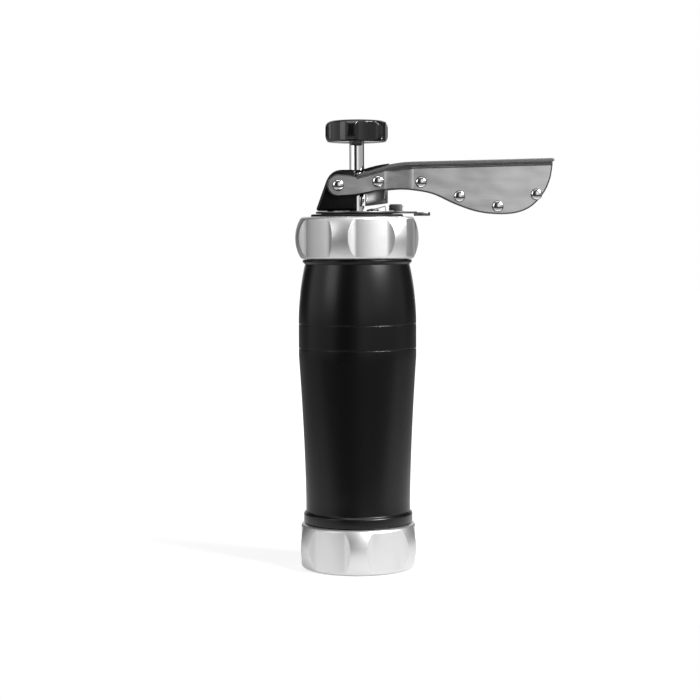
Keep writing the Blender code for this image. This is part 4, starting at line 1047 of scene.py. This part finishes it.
def make_lever(chrome, edge, bend):
    """Two sheets, each a web and a flange in one piece; the inside of the bend and the web's edge
    are painted dark as shade.
    """
    for name, side in (("lever_sheet_near", -1), ("lever_sheet_far", 1)):
        web = bent_web(side, (chrome, bend))
        flange = bent_flange(side, (chrome, edge, bend))
        # Faces inside the bend take the third finish, painted shade
        for face in flange.data.polygons:
            outward, up = face.normal.y * side, face.normal.z
            inside = outward > FLANGE_INSIDE_OUTWARD and up < FLANGE_INSIDE_DOWN
            if inside and face.material_index == 0:
                face.material_index = 2
        piece = joined([web, flange])
        place_into_mesh()
        bpy.ops.object.shade_smooth_by_angle(angle=math.radians(LEVER_SHARP))
        bpy.ops.object.modifier_add(type="WEIGHTED_NORMAL")
        step = piece.modifiers[-1]
        step.keep_sharp = True
        bpy.ops.object.modifier_apply(modifier=step.name)
        piece.name = piece.data.name = name + "_pressed"
        stands_for(piece, name, "lever")


def hood_outline():
    """The hood seen from the side: foot, back, a shoulder drawn as one curve, top and front."""
    shoulder, corner, top = (Vector(point) for point in HOOD_SHOULDER)
    line = [(HOOD_BACK, HOOD_FOOT)]
    for i in range(HOOD_SHOULDER_STEPS + 1):
        t = i / HOOD_SHOULDER_STEPS
        line.append(tuple(shoulder * (1 - t) ** 2 + corner * 2 * t * (1 - t) + top * t ** 2))
    return line + [(HOOD_FRONT, HOOD_TOP), (HOOD_FRONT, HOOD_FOOT)]


def across_middle(outline, half_width):
    """A plate that reaches as far to the near side as to the far side."""
    return plate(outline, -half_width, half_width, "Y")


def make_hood(material):
    """A folded sheet with rounded bends, closed behind and on top, open in front and below."""
    hood = across_middle(hood_outline(), HOOD_HALF_WIDTH)
    hood = rounded_edges(hood, HOOD_BEND, segments=4, angle=HOOD_BEND_ANGLE)
    inner = [
        (x + HOOD_WALL, z) if x < HOOD_BACK_END else (x + HOOD_WALL_UNDER_SHOULDER, z - HOOD_WALL)
        for x, z in hood_outline()[:-2]
    ]
    hood = cut(hood, across_middle(inner + HOOD_INNER_END, HOOD_INNER_HALF_WIDTH))
    hood = cut(hood, across_middle(HOOD_OPENING, HOOD_OPENING_HALF_WIDTH))
    tongue = across_middle(HOOD_TONGUE, HOOD_TONGUE_HALF_WIDTH)
    base = across_middle(HOOD_BASE, HOOD_BASE_HALF_WIDTH)
    tongue = rounded_edges(tongue, HOOD_TONGUE_BEVEL, segments=2, angle=HOOD_TONGUE_ANGLE)
    hood = cut(hood, tongue, "UNION")
    hood = cut(hood, base, "UNION")
    deselect()
    bpy.ops.mesh.primitive_cylinder_add(
        vertices=HOOD_HOLE_STEPS, radius=HOOD_HOLE_RADIUS * MM, depth=HOOD_HOLE_DEPTH * MM,
        location=(0, 0, HOOD_HOLE_MIDDLE * MM),
    )
    choose(cut(hood, bpy.context.object))
    stands_for(finished("folded_hood", material), "hood", "head")


def bare_copy(node):
    """A merged copy of a CAD solid, as a start for a finer piece."""
    deselect()
    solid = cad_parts[node]
    piece = solid.copy()
    piece.data = solid.data.copy()
    for key in list(piece.keys()):
        del piece[key]
    piece.parent = None
    bpy.context.scene.collection.objects.link(piece)
    choose(piece)
    edit_all()
    bpy.ops.mesh.remove_doubles(threshold=MERGE)
    bpy.ops.mesh.dissolve_limited(angle_limit=math.radians(COPLANAR))
    end_edit()
    return piece


def refined(node, name, material, body):
    """A CAD solid whose shape is right, with its edges rounded."""
    piece = bare_copy(node)
    width, angle = ROUNDINGS[node]
    if width:
        rounded_edges(piece, width, segments=2, angle=angle)
    choose(piece)
    stands_for(finished(name, material, angle), node, body)


def make_head(rough, nylon, zinc, steel):
    """The plate that closes the barrel, with its bush, screws and keepers."""
    head = spun(HEAD_PROFILE)
    low, high = HEAD_POCKET_HEIGHTS
    choose(cut(head, plate(HEAD_POCKET, low, high, "Z")))
    stands_for(finished("head_cap", rough), "head_plate", "head")
    refined("rod_guide_bush", "guide_bush", nylon, "head")
    for side in ("near", "far"):
        refined("hood_screw_" + side, "hood_screw_head_" + side, zinc, "head")
        refined("selector_keeper_" + side, "keeper_head_" + side, steel, "head")


def make_push_pawl(chrome):
    """The solid's channel, its foot cut off at a slant and a panel pressed into each side."""
    pawl = bare_copy("push_pawl")
    pawl = cut(pawl, across_middle(PAWL_FOOT_CUT, PAWL_FOOT_HALF_WIDTH))
    for low, high in PAWL_PANEL_SIDES:
        pawl = cut(pawl, plate(PAWL_PANEL, low, high, "Y"))
    choose(rounded_edges(pawl, PAWL_BEVEL))
    stands_for(finished("pawl_channel", chrome), "push_pawl", "push_pawl")


def make_inner_parts(zinc, aluminium, polished, steel):
    """The holding pawl, the dose selector, the piston and the disc, and what holds them."""
    refined("holding_pawl", "holding_leaf", polished, "head")
    refined("holding_pawl_rivet", "leaf_rivet_head", zinc, "head")
    refined("dose_selector", "selector_plate", steel, "selector")
    refined("piston", "piston_cup", aluminium, "piston")
    refined("piston_nut", "piston_nut_hex", zinc, "rod")
    refined("pattern_disc", "pattern_plate", aluminium, "die")


def make_spring(polished):
    """Its coil and its arm, under the pawl's rivet, as a merged copy baked in place."""
    bare_copy("return_spring")
    spring = finished("spring_wire", polished, SPRING_SHARP)
    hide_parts("return_spring")
    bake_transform(spring)


def make_floor():
    """White to the camera; in reflections it gets dimmer away from the press."""
    deselect()
    place = Vector(FLOOR_PLACE) * MM
    bpy.ops.mesh.primitive_plane_add(size=FLOOR_SIZE * MM, location=place)
    place_into_mesh()
    floor = bpy.context.object
    floor.name = "studio_floor"
    material, finish = new_material("studio_white")
    seen = finish.node("ShaderNodeLightPath", output="Is Camera Ray")
    glossy = finish.node("ShaderNodeLightPath", output="Is Glossy Ray")
    place = finish.node("ShaderNodeTexCoord", output="Object")
    away = finish.node(
        "ShaderNodeVectorMath", {"operation": "LENGTH"}, {0: place}, output="Value")
    far = finish.ranged(away, metres(FLOOR_WHITENS))
    short = finish.ranged(away, metres(FLOOR_DIMS))
    glow = (0.76 + 0.3 * far) * seen + (0.52 - 0.22 * short) * glossy
    shine = finish.node("ShaderNodeEmission", None, {"Color": grey(1), "Strength": glow})
    paper = finish.node("ShaderNodeBsdfDiffuse", None, {"Color": grey(FLOOR_GREY)})
    both = finish.node("ShaderNodeAddShader", None, {0: shine, 1: paper})
    dimmed = finish.node("ShaderNodeMixShader", None, {0: 0.5 * short * glossy, 1: both})
    finish.feed(finish.result.inputs["Surface"], dimmed)
    floor.data.materials.append(material)


def make_room():
    """White to the camera; to all else a room with walls, a dark ceiling and a cellar."""
    world = bpy.data.worlds.new("studio")
    bpy.context.scene.world = world
    world.use_nodes = True
    studio = Finish(world.node_tree, "ShaderNodeOutputWorld")
    way = studio.node("ShaderNodeTexCoord", output="Generated")
    across = studio.node("ShaderNodeSeparateXYZ", None, {0: way}, output="X")
    away = studio.node("ShaderNodeSeparateXYZ", None, {0: way}, output="Y")
    up = studio.node("ShaderNodeSeparateXYZ", None, {0: way}, output="Z")
    bearing = studio.node("ShaderNodeMath", {"operation": "ARCTAN2"}, {0: across, 1: -1 * away})
    share = bearing * (1 / (2 * math.pi)) + 0.5
    stops = [(turn / 360 + 0.5, level) for turn, level in STUDIO_WALLS.items()]
    walls = studio.node("ShaderNodeValToRGB", {"stops": stops}, {"Fac": share})
    above = studio.mix(studio.ranged(up, CEILING), walls, grey(DARK_GREY))
    below = studio.mix(studio.ranged(up, CELLAR), above, grey(DARK_GREY))
    room = studio.mix(studio.ranged(up, CELLAR_FLOOR), below, grey(CELLAR_FLOOR_GREY))
    glow = studio.ranged(up, HORIZON, *STRENGTH_AT_HORIZON)
    light = studio.node("ShaderNodeBackground", None, {"Color": room, "Strength": glow})
    white = studio.node("ShaderNodeBackground", None, {"Color": grey(1), "Strength": 1.0})
    seen = studio.node("ShaderNodeLightPath", output="Is Camera Ray")
    mixed = studio.node("ShaderNodeMixShader", None, {0: seen, 1: light, 2: white})
    studio.feed(studio.result.inputs["Surface"], mixed)


def make_lamps():
    """Rectangular lamps, all aimed at one point of the press."""
    for name, lamp in LAMPS.items():
        place = Vector(lamp["place"]) * MM
        turn = (Vector(LAMP_AIM) * MM - place).to_track_quat("-Z", "Y").to_euler()
        bpy.ops.object.light_add(type="AREA", location=place, rotation=turn)
        light = bpy.context.object
        light.name = name
        light.data.shape = "RECTANGLE"
        light.data.size, light.data.size_y = (side * MM for side in lamp["size"])
        light.data.energy = lamp["power"]


def make_camera():
    place = Vector(CAMERA_PLACE) * MM
    bpy.ops.object.camera_add(location=place, rotation=(math.radians(90 - CAMERA_TILT), 0, 0))
    camera = bpy.context.object
    camera.rotation_euler.rotate_axis("Z", math.radians(CAMERA_ROLL))
    camera.data.lens = CAMERA_LENS
    camera.data.sensor_width = CAMERA_SENSOR
    camera.data.shift_y = CAMERA_SHIFT
    camera.data.clip_start = CAMERA_CLIP * MM
    bpy.context.scene.camera = camera


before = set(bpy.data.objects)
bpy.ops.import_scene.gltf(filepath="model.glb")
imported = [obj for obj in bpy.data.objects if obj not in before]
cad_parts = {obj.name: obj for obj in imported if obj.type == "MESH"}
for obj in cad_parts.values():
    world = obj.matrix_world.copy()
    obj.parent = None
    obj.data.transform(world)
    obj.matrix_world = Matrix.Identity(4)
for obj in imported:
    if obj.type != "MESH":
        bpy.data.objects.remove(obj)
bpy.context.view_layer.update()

aluminium, anodised, enamel = satin_aluminium(), black_anodised(), black_enamel()
plastic, chrome, polished = gloss_plastic(), chrome_sheet(), polished_chrome()
zinc, nylon, rough, steel = zinc_steel(), dark_nylon(), rough_black(), blackened_steel()
# Painted shade for the inside of the bend, the web's edge and the rivets' feet
painted_shade_finish = painted_shade_chrome()

make_barrel(anodised)
make_ring_nuts(aluminium)
make_head(rough, nylon, zinc, steel)
make_hood(enamel)
make_rod(polished)
make_knob(plastic)
make_lever(chrome, sheared_edge(), painted_shade_finish)
make_rivets(polished, painted_shade_finish)
make_push_pawl(chrome)
make_inner_parts(zinc, aluminium, polished, steel)
make_spring(polished)
make_floor()
make_room()
make_lamps()
make_camera()
bpy.context.scene.view_settings.view_transform = "Standard"
